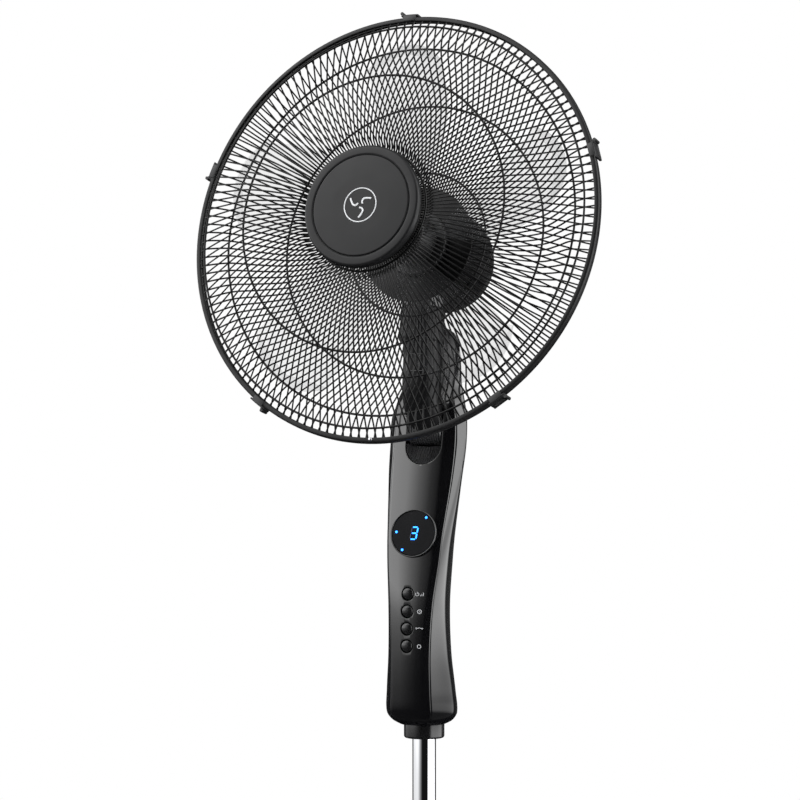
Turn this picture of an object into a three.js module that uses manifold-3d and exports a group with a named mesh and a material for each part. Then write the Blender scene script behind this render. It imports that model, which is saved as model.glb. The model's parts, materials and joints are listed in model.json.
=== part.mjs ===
// Pedestal fan: weighted round base, telescopic pole, control housing, tilting neck,
// and an oscillating guarded head.
// Millimetres, +Z up. The origin is on the floor under the pole's axis, and the fan blows towards -Y.
import * as THREE from "three";
import { mergeVertices } from "three/addons/utils/BufferGeometryUtils.js";
import Module from "manifold-3d";

const wasm = await Module();
wasm.setup();

// ---- Driving dimensions ----

const GAP = 0.3; // clearance between pieces that touch
const WALL = 2.6; // moulded shells

// Stand
const BASE_RADIUS = 195;
const FOOT = { radius: 11, height: 4, circle: 165 };
const BASE_PLATE = { inner: 20, outer: 188, low: 4.3, high: 6.3 };
const BASE_WEIGHT = { inner: 34, outer: 150, low: 6.6, high: 16.6 };
const LOWER_POLE = { outer: 16, inner: 14.2, low: 10, high: 410 };
const UPPER_POLE = { outer: 12, inner: 10.8, low: 220, high: 600 };
const COLLET = { low: 380, shoulder: 404, high: 430, outer: 21, thread: 18 };
const HEIGHT_NUT = { low: 408.6, high: 452, outer: 24.5 };

// Control housing: half widths and front-to-back places of its outline at each height.
// panel: half width of the front panel. edge: y of the panel's side edges.
// bulge: how far its middle stands forward.
// side: widest half width. mid: y where it is widest. back: depth behind that.
const HOUSING = [
  { z: 540, panel: 13, edge: -25, bulge: 2.5, side: 24, mid: -5, back: 20 },
  { z: 544, panel: 17, edge: -31, bulge: 3, side: 31.5, mid: -5.5, back: 25.5 },
  { z: 552, panel: 20.5, edge: -36, bulge: 3, side: 36.5, mid: -6, back: 30 },
  { z: 573, panel: 20.2, edge: -37.5, bulge: 3, side: 35.7, mid: -8, back: 29 },
  { z: 613, panel: 19.9, edge: -38, bulge: 3, side: 32.1, mid: -11, back: 28 },
  { z: 660, panel: 22.3, edge: -36, bulge: 3, side: 31, mid: -12, back: 27.5 },
  { z: 705, panel: 27, edge: -29.5, bulge: 3.5, side: 33.2, mid: -10, back: 28 },
  { z: 733, panel: 28.8, edge: -24.2, bulge: 4, side: 35, mid: -7.6, back: 28 },
  { z: 786, panel: 32, edge: -8.5, bulge: 5, side: 39.2, mid: 0.7, back: 27.5 },
  { z: 822, panel: 32.6, edge: 1, bulge: 5, side: 41.2, mid: 9.6, back: 25 },
  { z: 850, panel: 31.5, edge: 5, bulge: 4, side: 40, mid: 15, back: 23 },
  { z: 868, panel: 28, edge: 8, bulge: 3, side: 36, mid: 19, back: 20 },
  { z: 884, panel: 24, edge: 17, bulge: 2, side: 31.5, mid: 24, back: 15.5 },
  { z: 915, panel: 22, edge: 21, bulge: 2, side: 29, mid: 26, back: 13.5 },
  { z: 935, panel: 17, edge: 24, bulge: 1.5, side: 24, mid: 27.5, back: 11 },
  { z: 943, panel: 9, edge: 27, bulge: 1, side: 13, mid: 29, back: 6.5 },
];
const HOUSING_ROWS = 18;
const PANEL_STEPS = 3;
const FLANK_STEPS = 3;
const BACK_STEPS = 4;
const NOTCH = { half: 19.6, bottom: 802, back: 33.5 }; // the neck comes out of the housing here
const KNUCKLE_ROOM = { half: 24.6, bottom: 862 };
const DISPLAY = { y: -29.8, z: 733.6, radius: 24.6, lean: THREE.MathUtils.degToRad(14.6) };
const BUTTON = { x: -3, radius: 6.85, proud: 1.3, depth: 6.4, travel: 1.5, highest: 672.9, pitch: 17.4 };
const BUTTON_NAMES = ["button_speed", "button_timer", "button_swing", "button_off"];
const GLAND = { z: 566, y: 22 };
const REAR_SCREW_HEIGHTS = [650, 760];

// Neck and joints
const TILT = THREE.MathUtils.degToRad(13.6); // the head looks up by this much at rest
const SWING = THREE.MathUtils.degToRad(-3.5); // and a little to one side
const TILT_PIVOT = new THREE.Vector3(0, 15, 838);
const SWING_PIVOT = new THREE.Vector3(0, -6, 942);
const BARREL_RADIUS = 15;
const NECK_HALF_WIDTH = 18.3;
const NECK_HALF_DEPTH = 17;
const KNUCKLE = { radius: 22.4, low: -17, high: 17 };
const NECK_SPLIT_Y = -6;
const PIN_RADIUS = 3.5;
const SWING_SHAFT_RADIUS = 8;
const ANCHOR = { reach: 15, radius: 2 };

// Head, along its own axis: z is forward from the plane of the guard's rim
const AXIS_HEIGHT = 78.7; // above the swing pivot
const AXIS_AHEAD = 87; // the rim's plane ahead of the swing axis
const RIM_RADIUS = 220;
const SPOKES = 14;
const WIRE = 2.2;
const FRONT_WIRE = [
  [215.5, 2.2],
  [207, 8],
  [181, 26],
  [141, 52],
  [105, 62.5],
  [75, 64],
  [66, 57.5],
  [58, 55.8],
  [46, 55.8],
];
const REAR_WIRE = [
  [215.5, -2.2],
  [190, -8],
  [167, -29],
  [142, -49],
  [110, -58],
  [72, -60.6],
  [48, -60.6],
];
const FRONT_RINGS = [
  [207, 8],
  [141, 52],
];
const REAR_RINGS = [
  [190, -8],
  [142, -49],
];
const CAP = { radius: 62.6, back: 61, front: 74 };
const BADGE_RADIUS = 51;
const MOTOR = { radius: 54, front: -62, split: -112, back: -168 };
const SHAFT_RADIUS = 4;
const ROTOR = { radius: 21, front: -80, back: -110 };
const STATOR = { inner: 21.6, outer: 38 };
const HUB = { radius: 26, back: -50, front: -14 };
const BLADES = 5;
const BLADE_TIP = 184;
const BLADE_TURN = THREE.MathUtils.degToRad(10);
const CLIP_ANGLES = [18, 90, 162, 234, 306];
const CRANK = { behind: 40, low: 38.5, high: 41 }; // its arm is as long as the anchor pin's reach
const LINK = { low: 35, high: 37.5, end: 3.8 };
// Round boss under the motor that sits on the neck.
const SADDLE = { outer: 22.4, inner: 20.4, low: 17.3, high: 34 };

// ---- Solids ----

function solid(geometry) {
  const plain = geometry.index ? geometry.toNonIndexed() : geometry.clone();
  plain.deleteAttribute("normal");
  plain.deleteAttribute("uv");
  const merged = mergeVertices(plain, 1e-4);
  const triVerts = new Uint32Array(merged.index.array);
  const build = () =>
    new wasm.Manifold(
      new wasm.Mesh({ numProp: 3, vertProperties: merged.attributes.position.array, triVerts }),
    );
  const made = build();
  if (made.volume() > 0) return made;
  for (let i = 0; i < triVerts.length; i += 3)
    [triVerts[i + 1], triVerts[i + 2]] = [triVerts[i + 2], triVerts[i + 1]];
  return build();
}

function union(solids) {
  return solids.reduce((sum, next) => sum.add(next));
}

function largest(made) {
  return made.decompose().reduce((best, next) => (next.volume() > best.volume() ? next : best));
}

function geometryOf(made) {
  const mesh = made.getMesh();
  const positions = new Float32Array(mesh.numVert * 3);
  for (let i = 0; i < mesh.numVert; i++)
    positions.set(mesh.vertProperties.subarray(i * mesh.numProp, i * mesh.numProp + 3), i * 3);
  const geometry = new THREE.BufferGeometry();
  geometry.setAttribute("position", new THREE.BufferAttribute(positions, 3));
  geometry.setIndex(new THREE.BufferAttribute(mesh.triVerts, 1));
  geometry.computeVertexNormals();
  return geometry;
}

// A profile of [radius, height] turned about Z.
function turned(profile, segments = 24) {
  const points = profile.map(([r, h]) => new THREE.Vector2(r, h));
  if (profile[0][0] > 0) points.push(points[0].clone());
  return solid(new THREE.LatheGeometry(points, segments).rotateX(Math.PI / 2));
}

function ring(inner, outer, low, high, segments = 24) {
  return turned([[inner, low], [outer, low], [outer, high], [inner, high]], segments);
}

function rod(radius, low, high, segments = 16) {
  return turned([[0, low], [radius, low], [radius, high], [0, high]], segments);
}

function block(x, y, z, [cx, cy, cz] = [0, 0, 0]) {
  return solid(new THREE.BoxGeometry(x, y, z).translate(cx, cy, cz));
}

function moved(made, matrix) {
  return made.transform(matrix.elements);
}

function shifted(made, x, y, z) {
  return moved(made, new THREE.Matrix4().makeTranslation(x, y, z));
}

function along(direction, made) {
  const turn = new THREE.Quaternion().setFromUnitVectors(new THREE.Vector3(0, 0, 1), direction);
  return moved(made, new THREE.Matrix4().makeRotationFromQuaternion(turn));
}

const X_AXIS = new THREE.Vector3(1, 0, 0);
const Y_AXIS = new THREE.Vector3(0, 1, 0);

// Closed outlines with the same even number of points, joined in order.
// Each end is closed with strips across it, from a point on one side to its opposite on the other.
function skinned(rows) {
  const count = rows[0].length;
  const index = [];
  for (let r = 0; r + 1 < rows.length; r++)
    for (let i = 0; i < count; i++) {
      const j = (i + 1) % count;
      const [a, b] = [r * count, (r + 1) * count];
      index.push(a + i, a + j, b + j, a + i, b + j, b + i);
    }
  const close = (start, flip) => {
    for (let i = 0; i + 1 < count / 2; i++) {
      const quad = [start + i, start + i + 1, start + count - 2 - i, start + count - 1 - i];
      const [a, b, c, d] = flip ? quad : quad.reverse();
      index.push(a, c, b, a, d, c);
    }
  };
  close(0, true);
  close((rows.length - 1) * count, false);
  const geometry = new THREE.BufferGeometry();
  geometry.setAttribute("position", new THREE.Float32BufferAttribute(rows.flat(2), 3));
  geometry.setIndex(index);
  return solid(geometry);
}

// ---- Materials ----

const paint = (color, roughness, metalness = 0) =>
  new THREE.MeshStandardMaterial({ color, roughness, metalness });
const MATERIALS = {
  gloss: paint(0x0b0b0c, 0.12),
  satin: paint(0x17181a, 0.42),
  wire: paint(0x101112, 0.35),
  chrome: paint(0xd8dadd, 0.06, 1),
  steel: paint(0x9a9ca0, 0.35, 1),
  iron: paint(0x3c3d40, 0.7, 0.8),
  copper: paint(0xa8622c, 0.4, 0.9),
  rubber: paint(0x141414, 0.9),
  clear: new THREE.MeshStandardMaterial({
    color: 0x9fa3a8,
    roughness: 0.2,
    transparent: true,
    opacity: 0.35,
  }),
  screen: paint(0x050608, 0.08),
  board: paint(0x1d5a34, 0.6),
};

function piece(parent, name, made, material) {
  const mesh = new THREE.Mesh(geometryOf(made), MATERIALS[material]);
  mesh.name = name;
  parent.add(mesh);
  return mesh;
}

// ---- Stand ----

function baseCover() {
  return turned(
    [
      [191, 4.3],
      [BASE_RADIUS, 4.3],
      [BASE_RADIUS, 11],
      [188, 16],
      [150, 24],
      [90, 31],
      [40, 38],
      [26, 47],
      [26, 60],
      [24, 62],
      [LOWER_POLE.outer + GAP, 62],
      [LOWER_POLE.outer + GAP, 59],
      [23, 59],
      [23, 45],
      [38, 35],
      [90, 28],
      [150, 21],
      [191, 11],
    ],
    36,
  );
}

function heightCollet() {
  const overPole = LOWER_POLE.outer + GAP;
  const overMast = UPPER_POLE.outer + GAP;
  return turned([
    [overPole, COLLET.low],
    [COLLET.outer, COLLET.low],
    [COLLET.outer, COLLET.shoulder],
    [COLLET.thread, COLLET.shoulder + 3],
    [COLLET.thread, COLLET.high],
    [overMast, COLLET.high],
    [overMast, LOWER_POLE.high + GAP],
    [overPole, LOWER_POLE.high + GAP],
  ]);
}

function heightNut() {
  const overThread = COLLET.thread + GAP;
  const overMast = UPPER_POLE.outer + 0.4;
  return turned(
    [
      [overThread, HEIGHT_NUT.low],
      [22, HEIGHT_NUT.low],
      [HEIGHT_NUT.outer, HEIGHT_NUT.low + 4],
      [HEIGHT_NUT.outer, HEIGHT_NUT.high - 12],
      [19, HEIGHT_NUT.high],
      [overMast, HEIGHT_NUT.high],
      [overMast, COLLET.high + 1],
      [overThread, COLLET.high + 1],
    ],
    24,
  );
}

function addStand(root) {
  for (let i = 0; i < 4; i++) {
    const angle = Math.PI / 4 + (i * Math.PI) / 2;
    const foot = rod(FOOT.radius, 0, FOOT.height);
    const x = FOOT.circle * Math.cos(angle);
    const y = FOOT.circle * Math.sin(angle);
    piece(root, `foot_${i + 1}`, shifted(foot, x, y, 0), "rubber");
  }
  const plate = ring(BASE_PLATE.inner, BASE_PLATE.outer, BASE_PLATE.low, BASE_PLATE.high, 40);
  piece(root, "base_plate", plate, "satin");
  const weight = ring(BASE_WEIGHT.inner, BASE_WEIGHT.outer, BASE_WEIGHT.low, BASE_WEIGHT.high, 40);
  piece(root, "base_weight", weight, "iron");
  piece(root, "base_cover", baseCover(), "gloss");
  piece(root, "pole_nut", ring(LOWER_POLE.outer + GAP, 31, 7, 15, 24), "satin");
  const { inner, outer, low, high } = LOWER_POLE;
  piece(root, "lower_pole", ring(inner, outer, low, high), "satin");
  piece(root, "height_collet", heightCollet(), "satin");
  piece(root, "height_nut", heightNut(), "satin");
}

// ---- Control housing ----

// Smooth value of one column of the outline at height z, with slopes taken across its neighbours.
function outlineAt(key, z) {
  const last = HOUSING.length - 1;
  const i = Math.min(Math.max(HOUSING.findIndex((s) => s.z > z) - 1, 0), last - 1);
  const at = z >= HOUSING[last].z ? last - 1 : i;
  const slope = (k) => {
    const before = HOUSING[Math.max(k - 1, 0)];
    const after = HOUSING[Math.min(k + 1, last)];
    return (after[key] - before[key]) / (after.z - before.z);
  };
  const [from, to] = [HOUSING[at], HOUSING[at + 1]];
  const span = to.z - from.z;
  const t = (z - from.z) / span;
  const [t2, t3] = [t * t, t * t * t];
  return (
    (2 * t3 - 3 * t2 + 1) * from[key] +
    (t3 - 2 * t2 + t) * span * slope(at) +
    (3 * t2 - 2 * t3) * to[key] +
    (t3 - t2) * span * slope(at + 1)
  );
}

// The housing's outline at height z, drawn in by inset,
// as [x, y, z] points going round from the panel's middle.
function housingOutline(z, inset) {
  const get = (key) => outlineAt(key, z);
  const panel = get("panel") - inset;
  const edge = get("edge") + inset;
  const bulge = get("bulge");
  const side = get("side") - inset;
  const mid = get("mid");
  const back = get("back") - inset;
  const half = [];
  for (let i = 0; i <= PANEL_STEPS; i++) {
    const x = (panel * i) / PANEL_STEPS;
    half.push([x, edge - bulge * (1 - (x / panel) ** 2)]);
  }
  const control = [side, Math.min(edge + (side - panel), mid - 0.5)];
  for (let i = 1; i <= FLANK_STEPS; i++) {
    const t = i / FLANK_STEPS;
    const [a, b, c] = [(1 - t) ** 2, 2 * t * (1 - t), t * t];
    half.push([a * panel + b * control[0] + c * side, a * edge + b * control[1] + c * mid]);
  }
  for (let i = 1; i <= BACK_STEPS; i++) {
    const angle = (Math.PI / 2) * (i / BACK_STEPS);
    half.push([side * Math.cos(angle), mid + back * Math.sin(angle)]);
  }
  const other = half.slice(1, -1).reverse();
  return [...half, ...other.map(([x, y]) => [-x, y])].map(([x, y]) => [x, y, z]);
}

function housingRows(low, high, inset) {
  const rows = [];
  for (let i = 0; i <= HOUSING_ROWS; i++)
    rows.push(housingOutline(low + ((high - low) * i) / HOUSING_ROWS, inset));
  return rows;
}

// Everything in front of the panel's side edges, moved back by shift.
function frontOfEdges(shift) {
  const rows = [];
  const [low, high] = [HOUSING[0].z, HOUSING.at(-1).z];
  for (let i = 0; i <= HOUSING_ROWS; i++) {
    const z = low + ((high - low) * i) / HOUSING_ROWS;
    const y = outlineAt("edge", z) + shift;
    const shownZ = i === 0 ? z - 1 : i === HOUSING_ROWS ? z + 1 : z;
    rows.push([[-60, -90, shownZ], [60, -90, shownZ], [60, y, shownZ], [-60, y, shownZ]]);
  }
  return skinned(rows);
}

function neckRoom() {
  const { half, bottom, back } = NOTCH;
  const shape = new THREE.Shape();
  shape.moveTo(-half, 960);
  shape.lineTo(-half, bottom + half);
  shape.absarc(0, bottom + half, half, Math.PI, 2 * Math.PI, false);
  shape.lineTo(half, 960);
  const depth = back + 70;
  const slot = new THREE.ExtrudeGeometry(shape, { depth, bevelEnabled: false, curveSegments: 12 });
  slot.rotateX(Math.PI / 2).translate(0, back, 0);
  const top = KNUCKLE_ROOM.bottom;
  const room = block(2 * KNUCKLE_ROOM.half, back + 70, 100, [0, (back - 70) / 2, top + 50]);
  return solid(slot).add(room);
}

function displayMatrix() {
  const matrix = new THREE.Matrix4().makeRotationX(Math.PI / 2 - DISPLAY.lean);
  return matrix.setPosition(0, DISPLAY.y, DISPLAY.z);
}

// y of the panel's middle, where the buttons stand.
function panelFront(z) {
  return outlineAt("edge", z) - outlineAt("bulge", z);
}

function buttonHeights() {
  return BUTTON_NAMES.map((_, i) => BUTTON.highest - BUTTON.pitch * i);
}

function housingShell() {
  const low = HOUSING[0].z;
  const high = HOUSING.at(-1).z;
  const outer = skinned(housingRows(low, high, 0));
  const inner = skinned(housingRows(low + WALL, high - WALL, WALL));
  return outer.subtract(inner).subtract(neckRoom());
}

function housingFront(shell) {
  let made = shell.intersect(frontOfEdges(WALL - GAP / 2));
  made = made.subtract(moved(rod(DISPLAY.radius + GAP, -15, 15, 32), displayMatrix()));
  for (const z of buttonHeights()) {
    const hole = along(Y_AXIS, rod(BUTTON.radius + GAP, -60, -20));
    made = made.subtract(shifted(hole, BUTTON.x, 0, z));
  }
  return largest(made.subtract(rod(UPPER_POLE.outer + GAP, 500, 560)));
}

function housingRear(shell) {
  let made = shell.subtract(frontOfEdges(WALL + GAP / 2));
  made = made.subtract(rod(UPPER_POLE.outer + GAP, 500, 560));
  made = made.subtract(shifted(along(Y_AXIS, rod(6.3, 5, 60)), 0, 0, GLAND.z));
  for (const z of REAR_SCREW_HEIGHTS)
    made = made.subtract(shifted(along(Y_AXIS, rod(3.5, 5, 60, 16)), 0, 0, z));
  return largest(made);
}

function button() {
  const { radius, depth: crown } = BUTTON;
  const profile = [
    [0, 0],
    [radius, 0],
    [radius, crown - 2.2],
    [radius * 0.86, crown - 1],
    [radius * 0.5, crown - 0.2],
    [0, crown],
  ];
  return along(Y_AXIS.clone().negate(), turned(profile, 16));
}

function buttonBack(z) {
  return panelFront(z) - BUTTON.proud + BUTTON.depth;
}

function mainBoard() {
  const top = 700;
  const card = block(34, 1.6, 84, [0, -21, top - 42]);
  const parts = [
    block(16, 13, 16, [-6, -13.8, top - 14]),
    block(10, 11, 16, [9, -14.8, top - 15]),
    shifted(along(Y_AXIS, rod(5, 0, 14, 16)), 6, -20.6, top - 38),
    block(24, 6, 8, [0, -17.4, top - 56]),
    block(20, 9, 9, [0, -16, top - 76]),
  ];
  return union([card, ...parts]);
}

function buttonBoard() {
  const middle = BUTTON.highest - 1.5 * BUTTON.pitch;
  const card = block(22, 1.6, 78, [BUTTON.x, -28.4, middle]);
  const switches = buttonHeights().map((z) => {
    const front = buttonBack(z) + BUTTON.travel + GAP;
    const depth = -28.4 - front;
    return block(6, depth, 6, [BUTTON.x, front + depth / 2, z]);
  });
  return union([card, ...switches]);
}

function tiltBracket() {
  const cup = ring(UPPER_POLE.outer + GAP, 14.6, 575, 604, 24);
  const foot = rod(14.6, 601, 606, 24);
  const path = new THREE.LineCurve3(
    new THREE.Vector3(0, 0, 603),
    new THREE.Vector3(0, TILT_PIVOT.y, 808),
  );
  const section = new THREE.Shape();
  section.moveTo(-10, -3);
  section.lineTo(10, -3);
  section.lineTo(10, 3);
  section.lineTo(-10, 3);
  section.closePath();
  const strut = new THREE.ExtrudeGeometry(section, { steps: 1, extrudePath: path });
  const bridge = block(45, 16, 5, [0, TILT_PIVOT.y, 809]);
  const ears = [-1, 1].map((side) => {
    const ear = block(3, 16, 34, [side * 21, TILT_PIVOT.y, 824]);
    const eye = along(X_AXIS, rod(8, -1.5, 1.5));
    return ear.add(shifted(eye, side * 21, TILT_PIVOT.y, TILT_PIVOT.z));
  });
  const hole = along(X_AXIS, rod(PIN_RADIUS + GAP, -40, 40));
  const made = union([cup, foot, solid(strut), bridge, ...ears]);
  return made.subtract(shifted(hole, 0, TILT_PIVOT.y, TILT_PIVOT.z));
}

function tiltPin() {
  const pin = rod(PIN_RADIUS, -28, 23.5).add(rod(6.2, 22.9, 26.5));
  return shifted(along(X_AXIS, pin), 0, TILT_PIVOT.y, TILT_PIVOT.z);
}

function cordGland() {
  const body = ring(3.2, 6, GLAND.y - 5, GLAND.y + 3.4, 20);
  const flange = ring(3.2, 8, GLAND.y + 1.9, GLAND.y + 3.4, 20);
  return shifted(along(Y_AXIS, body.add(flange)), 0, 0, GLAND.z);
}

function rearScrew(z) {
  const back = outlineAt("mid", z) + outlineAt("back", z);
  const screw = rod(3, back - 3.4, back - 0.6, 16).add(rod(1.6, back - 8, back - 3, 12));
  return shifted(along(Y_AXIS, screw), 0, 0, z);
}

function addMast(root) {
  const { inner, outer, low, high } = UPPER_POLE;
  piece(root, "upper_pole", ring(inner, outer, low, high), "chrome");
  piece(root, "mast_bush", ring(outer + GAP, LOWER_POLE.inner - GAP, low + 2, low + 30), "satin");
  const collar = ring(outer + GAP, 20.6, 525, HOUSING[0].z - GAP);
  piece(root, "pole_collar", collar, "satin");
  const shell = housingShell();
  piece(root, "housing_front", housingFront(shell), "gloss");
  piece(root, "housing_rear", housingRear(shell), "gloss");
  const face = displayMatrix();
  piece(root, "display_bezel", moved(ring(23.3, DISPLAY.radius, -5, 0.6), face), "satin");
  piece(root, "display_lens", moved(rod(23, -1.8, 0, 32), face), "screen");
  const digit = block(14, 19, 4, [0, 0, -4.6]);
  piece(root, "display_board", moved(rod(19, -7.8, -6.2, 24).add(digit), face), "board");
  piece(root, "button_board", buttonBoard(), "board");
  piece(root, "main_board", mainBoard(), "board");
  piece(root, "cord_gland", cordGland(), "rubber");
  piece(root, "tilt_bracket", tiltBracket(), "steel");
  piece(root, "tilt_pin", tiltPin(), "steel");
  REAR_SCREW_HEIGHTS.forEach((z, i) =>
    piece(root, `housing_screw_${i + 1}`, rearScrew(z), "steel"),
  );
  buttonHeights().forEach((z, i) => {
    const made = shifted(button(), BUTTON.x, buttonBack(z), z);
    piece(root, BUTTON_NAMES[i], made, "satin");
  });
}

// ---- Neck ----

const NECK_MATRIX = new THREE.Matrix4().makeRotationX(-TILT).setPosition(SWING_PIVOT);

function neckSolid() {
  const spine = new THREE.CatmullRomCurve3(
    [
      [TILT_PIVOT.y, TILT_PIVOT.z],
      [5, 850],
      [-5, 862],
      [-9.5, 877],
      [-8.5, 895],
      [-6.5, 914],
      [-9, 931],
    ].map(([y, z]) => new THREE.Vector3(0, y, z)),
  );
  const oval = new THREE.Shape();
  oval.absellipse(0, 0, NECK_HALF_DEPTH, NECK_HALF_WIDTH, 0, 2 * Math.PI);
  const column = new THREE.ExtrudeGeometry(oval, {
    steps: 10,
    extrudePath: spine,
    curveSegments: 9,
  });
  const barrel = along(X_AXIS, rod(BARREL_RADIUS, -NECK_HALF_WIDTH, NECK_HALF_WIDTH, 28));
  const { radius, low, high } = KNUCKLE;
  const knuckle = turned(
    [
      [0, low],
      [radius - 2, low],
      [radius, low + 2],
      [radius, high - 2],
      [radius - 2, high],
      [0, high],
    ],
    32,
  );
  return union([
    solid(column),
    shifted(barrel, 0, TILT_PIVOT.y, TILT_PIVOT.z),
    moved(knuckle, NECK_MATRIX),
  ]);
}

// The passage for the leads, from the barrel up to the swing bush.
function neckPassage() {
  const path = new THREE.CatmullRomCurve3(
    [
      [-8, 850],
      [-9.5, 877],
      [-8, 900],
      [-6, 930],
    ].map(([y, z]) => new THREE.Vector3(0, y, z)),
  );
  const circle = new THREE.Shape();
  circle.absarc(0, 0, 9, 0, 2 * Math.PI);
  const options = { steps: 4, extrudePath: path, curveSegments: 5 };
  return solid(new THREE.ExtrudeGeometry(circle, options));
}

function addNeck(root) {
  const bore = moved(rod(12 + GAP, KNUCKLE.low + 4, 40, 24), NECK_MATRIX);
  const pinHole = shifted(along(X_AXIS, rod(PIN_RADIUS + GAP, -40, 40)), 0, TILT_PIVOT.y, TILT_PIVOT.z);
  const anchorHole = shifted(rod(ANCHOR.radius + GAP, KNUCKLE.high - 9, 40, 12), ANCHOR.reach, 0, 0);
  const whole = neckSolid()
    .subtract(bore)
    .subtract(neckPassage())
    .subtract(pinHole)
    .subtract(moved(anchorHole, NECK_MATRIX));
  const front = block(100, 100, 300, [0, NECK_SPLIT_Y - 50 - GAP / 2, 980]);
  const behind = block(100, 100, 300, [0, NECK_SPLIT_Y - 50 + GAP / 2, 980]);
  piece(root, "neck_front", largest(whole.intersect(front)), "satin");
  piece(root, "neck_rear", largest(whole.subtract(behind)), "satin");
  const bush = ring(SWING_SHAFT_RADIUS + GAP, 12, KNUCKLE.low + 4 + GAP, KNUCKLE.high, 24);
  piece(root, "swing_bush", moved(bush, NECK_MATRIX), "satin");
  const anchor = shifted(rod(ANCHOR.radius, KNUCKLE.high - 8, LINK.high + 0.4, 12), ANCHOR.reach, 0, 0);
  piece(root, "swing_anchor_pin", moved(anchor, NECK_MATRIX), "steel");
}

// ---- Head ----

// A square wire that follows a profile of [radius, z] points.
function spokeWire(profile) {
  const points = profile.map(([r, z]) => new THREE.Vector2(r, z));
  const rows = points.map((p, i) => {
    const before = points[Math.max(i - 1, 0)];
    const after = points[Math.min(i + 1, points.length - 1)];
    const run = after.clone().sub(before).normalize().multiplyScalar(WIRE / 2);
    const [dx, dz] = [-run.y, run.x];
    const half = WIRE / 2;
    return [
      [p.x + dx, -half, p.y + dz],
      [p.x + dx, half, p.y + dz],
      [p.x - dx, half, p.y - dz],
      [p.x - dx, -half, p.y - dz],
    ];
  });
  return skinned(rows);
}

function guardWires(profile, rings) {
  const spoke = spokeWire(profile);
  const spokes = [];
  for (let i = 0; i < SPOKES; i++) {
    const turn = new THREE.Matrix4().makeRotationZ((2 * Math.PI * (i + 0.5)) / SPOKES);
    spokes.push(moved(spoke, turn));
  }
  const hoops = rings.map(([r, z]) => ring(r - 1.3, r + 1.3, z - 1.3, z + 1.3, 32));
  return union([...spokes, ...hoops]);
}

function frontGuard() {
  const rim = ring(214.7, 218, 0.5, 3.8, 48);
  const centre = ring(30, 57, 54.6, 57, 32);
  return union([guardWires(FRONT_WIRE, FRONT_RINGS), rim, centre]);
}

function rearGuard() {
  const rim = ring(214.7, 218, -3.8, -0.5, 48);
  const centre = ring(21, 52, -61.7, -59.5, 32);
  return union([guardWires(REAR_WIRE, REAR_RINGS), rim, centre]);
}

function guardRing() {
  const [inner, wall] = [214.3, 218.4];
  return turned(
    [
      [RIM_RADIUS, -5.8],
      [RIM_RADIUS, 5.8],
      [inner, 5.8],
      [inner, 4.8],
      [wall, 4.8],
      [wall, -4.8],
      [inner, -4.8],
      [inner, -5.8],
    ],
    48,
  );
}

// A spring clip over the ring, on the +X side: hinge lug behind, hook in front and a finger tab at one end.
function clip() {
  const top = block(2.4, 18, 15, [RIM_RADIUS + GAP + 1.2, 0, 0.5]);
  const hook = block(7, 14, 1.6, [217.5, 0, 7.2]);
  const lug = shifted(along(Y_AXIS, rod(1.7, -9, 9, 8)), RIM_RADIUS + 2, 0, -7.6);
  const tab = block(3.4, 4, 13, [RIM_RADIUS + 2.4, 8.6, 1]);
  const knob = shifted(rod(2.3, -6, 7, 8), RIM_RADIUS + 3.9, 9.2, 0.5);
  return union([top, hook, lug, tab, knob]);
}

function frontCap() {
  const { radius, back, front } = CAP;
  return turned(
    [
      [0, back + 3],
      [radius - 3, back + 3],
      [radius - 3, back],
      [radius, back],
      [radius, front - 5],
      [radius - 2, front - 1.6],
      [radius - 6, front - 0.4],
      [BADGE_RADIUS + GAP + 0.6, front - 0.2],
      [BADGE_RADIUS + GAP + 0.6, front - 2.6],
      [0, front - 2.6],
    ],
    32,
  );
}

function capBadge() {
  const low = CAP.front - 2.6 + GAP;
  return turned(
    [
      [0, low],
      [BADGE_RADIUS, low],
      [BADGE_RADIUS, CAP.front - 0.6],
      [BADGE_RADIUS - 1, CAP.front],
      [0, CAP.front + 0.8],
    ],
    32,
  );
}

function motorFrontCover() {
  const { radius, front, split } = MOTOR;
  const inner = radius - WALL;
  const shell = turned([
    [10, front - 3],
    [10, front],
    [18, front],
    [18, front + 9],
    [20, front + 9],
    [20, front - GAP],
    [radius - 5, front - GAP],
    [radius, front - 5],
    [radius, split + GAP],
    [inner, split + GAP],
    [inner, front - 6],
    [radius - 7, front - 3],
  ]);
  const room = saddle(rod(SADDLE.inner, 0, SADDLE.high + 6, 28));
  const boss = saddle(rod(SADDLE.outer, SADDLE.low, SADDLE.high, 28)).subtract(rod(inner, -200, 0, 32));
  return largest(shell.add(boss).subtract(room));
}

// A solid on the swing axis, in the head axis's frame.
function saddle(made) {
  const turned = moved(made, new THREE.Matrix4().makeRotationX(-Math.PI / 2));
  return shifted(turned, 0, -AXIS_HEIGHT, -AXIS_AHEAD);
}

function motorRearCover() {
  const { radius, split, back } = MOTOR;
  const outer = [
    [radius, split],
    [radius, -126],
    [52, -135],
    [47.5, -146],
    [40, -154],
    [31, -158.5],
    [28, -164],
    [22, back + 1],
    [0, back],
  ];
  const inner = outer
    .map(([r, z]) => [Math.max(r - WALL, 0), z + (r < 45 ? WALL : 0)])
    .reverse();
  return turned([...inner, ...outer].reverse());
}

function stator() {
  const laminations = ring(STATOR.inner, STATOR.outer, ROTOR.back, ROTOR.front, 24);
  const windings = ring(STATOR.inner + 3, STATOR.outer - 5, ROTOR.back - 4, ROTOR.front + 7, 24);
  return laminations.add(windings);
}

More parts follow.
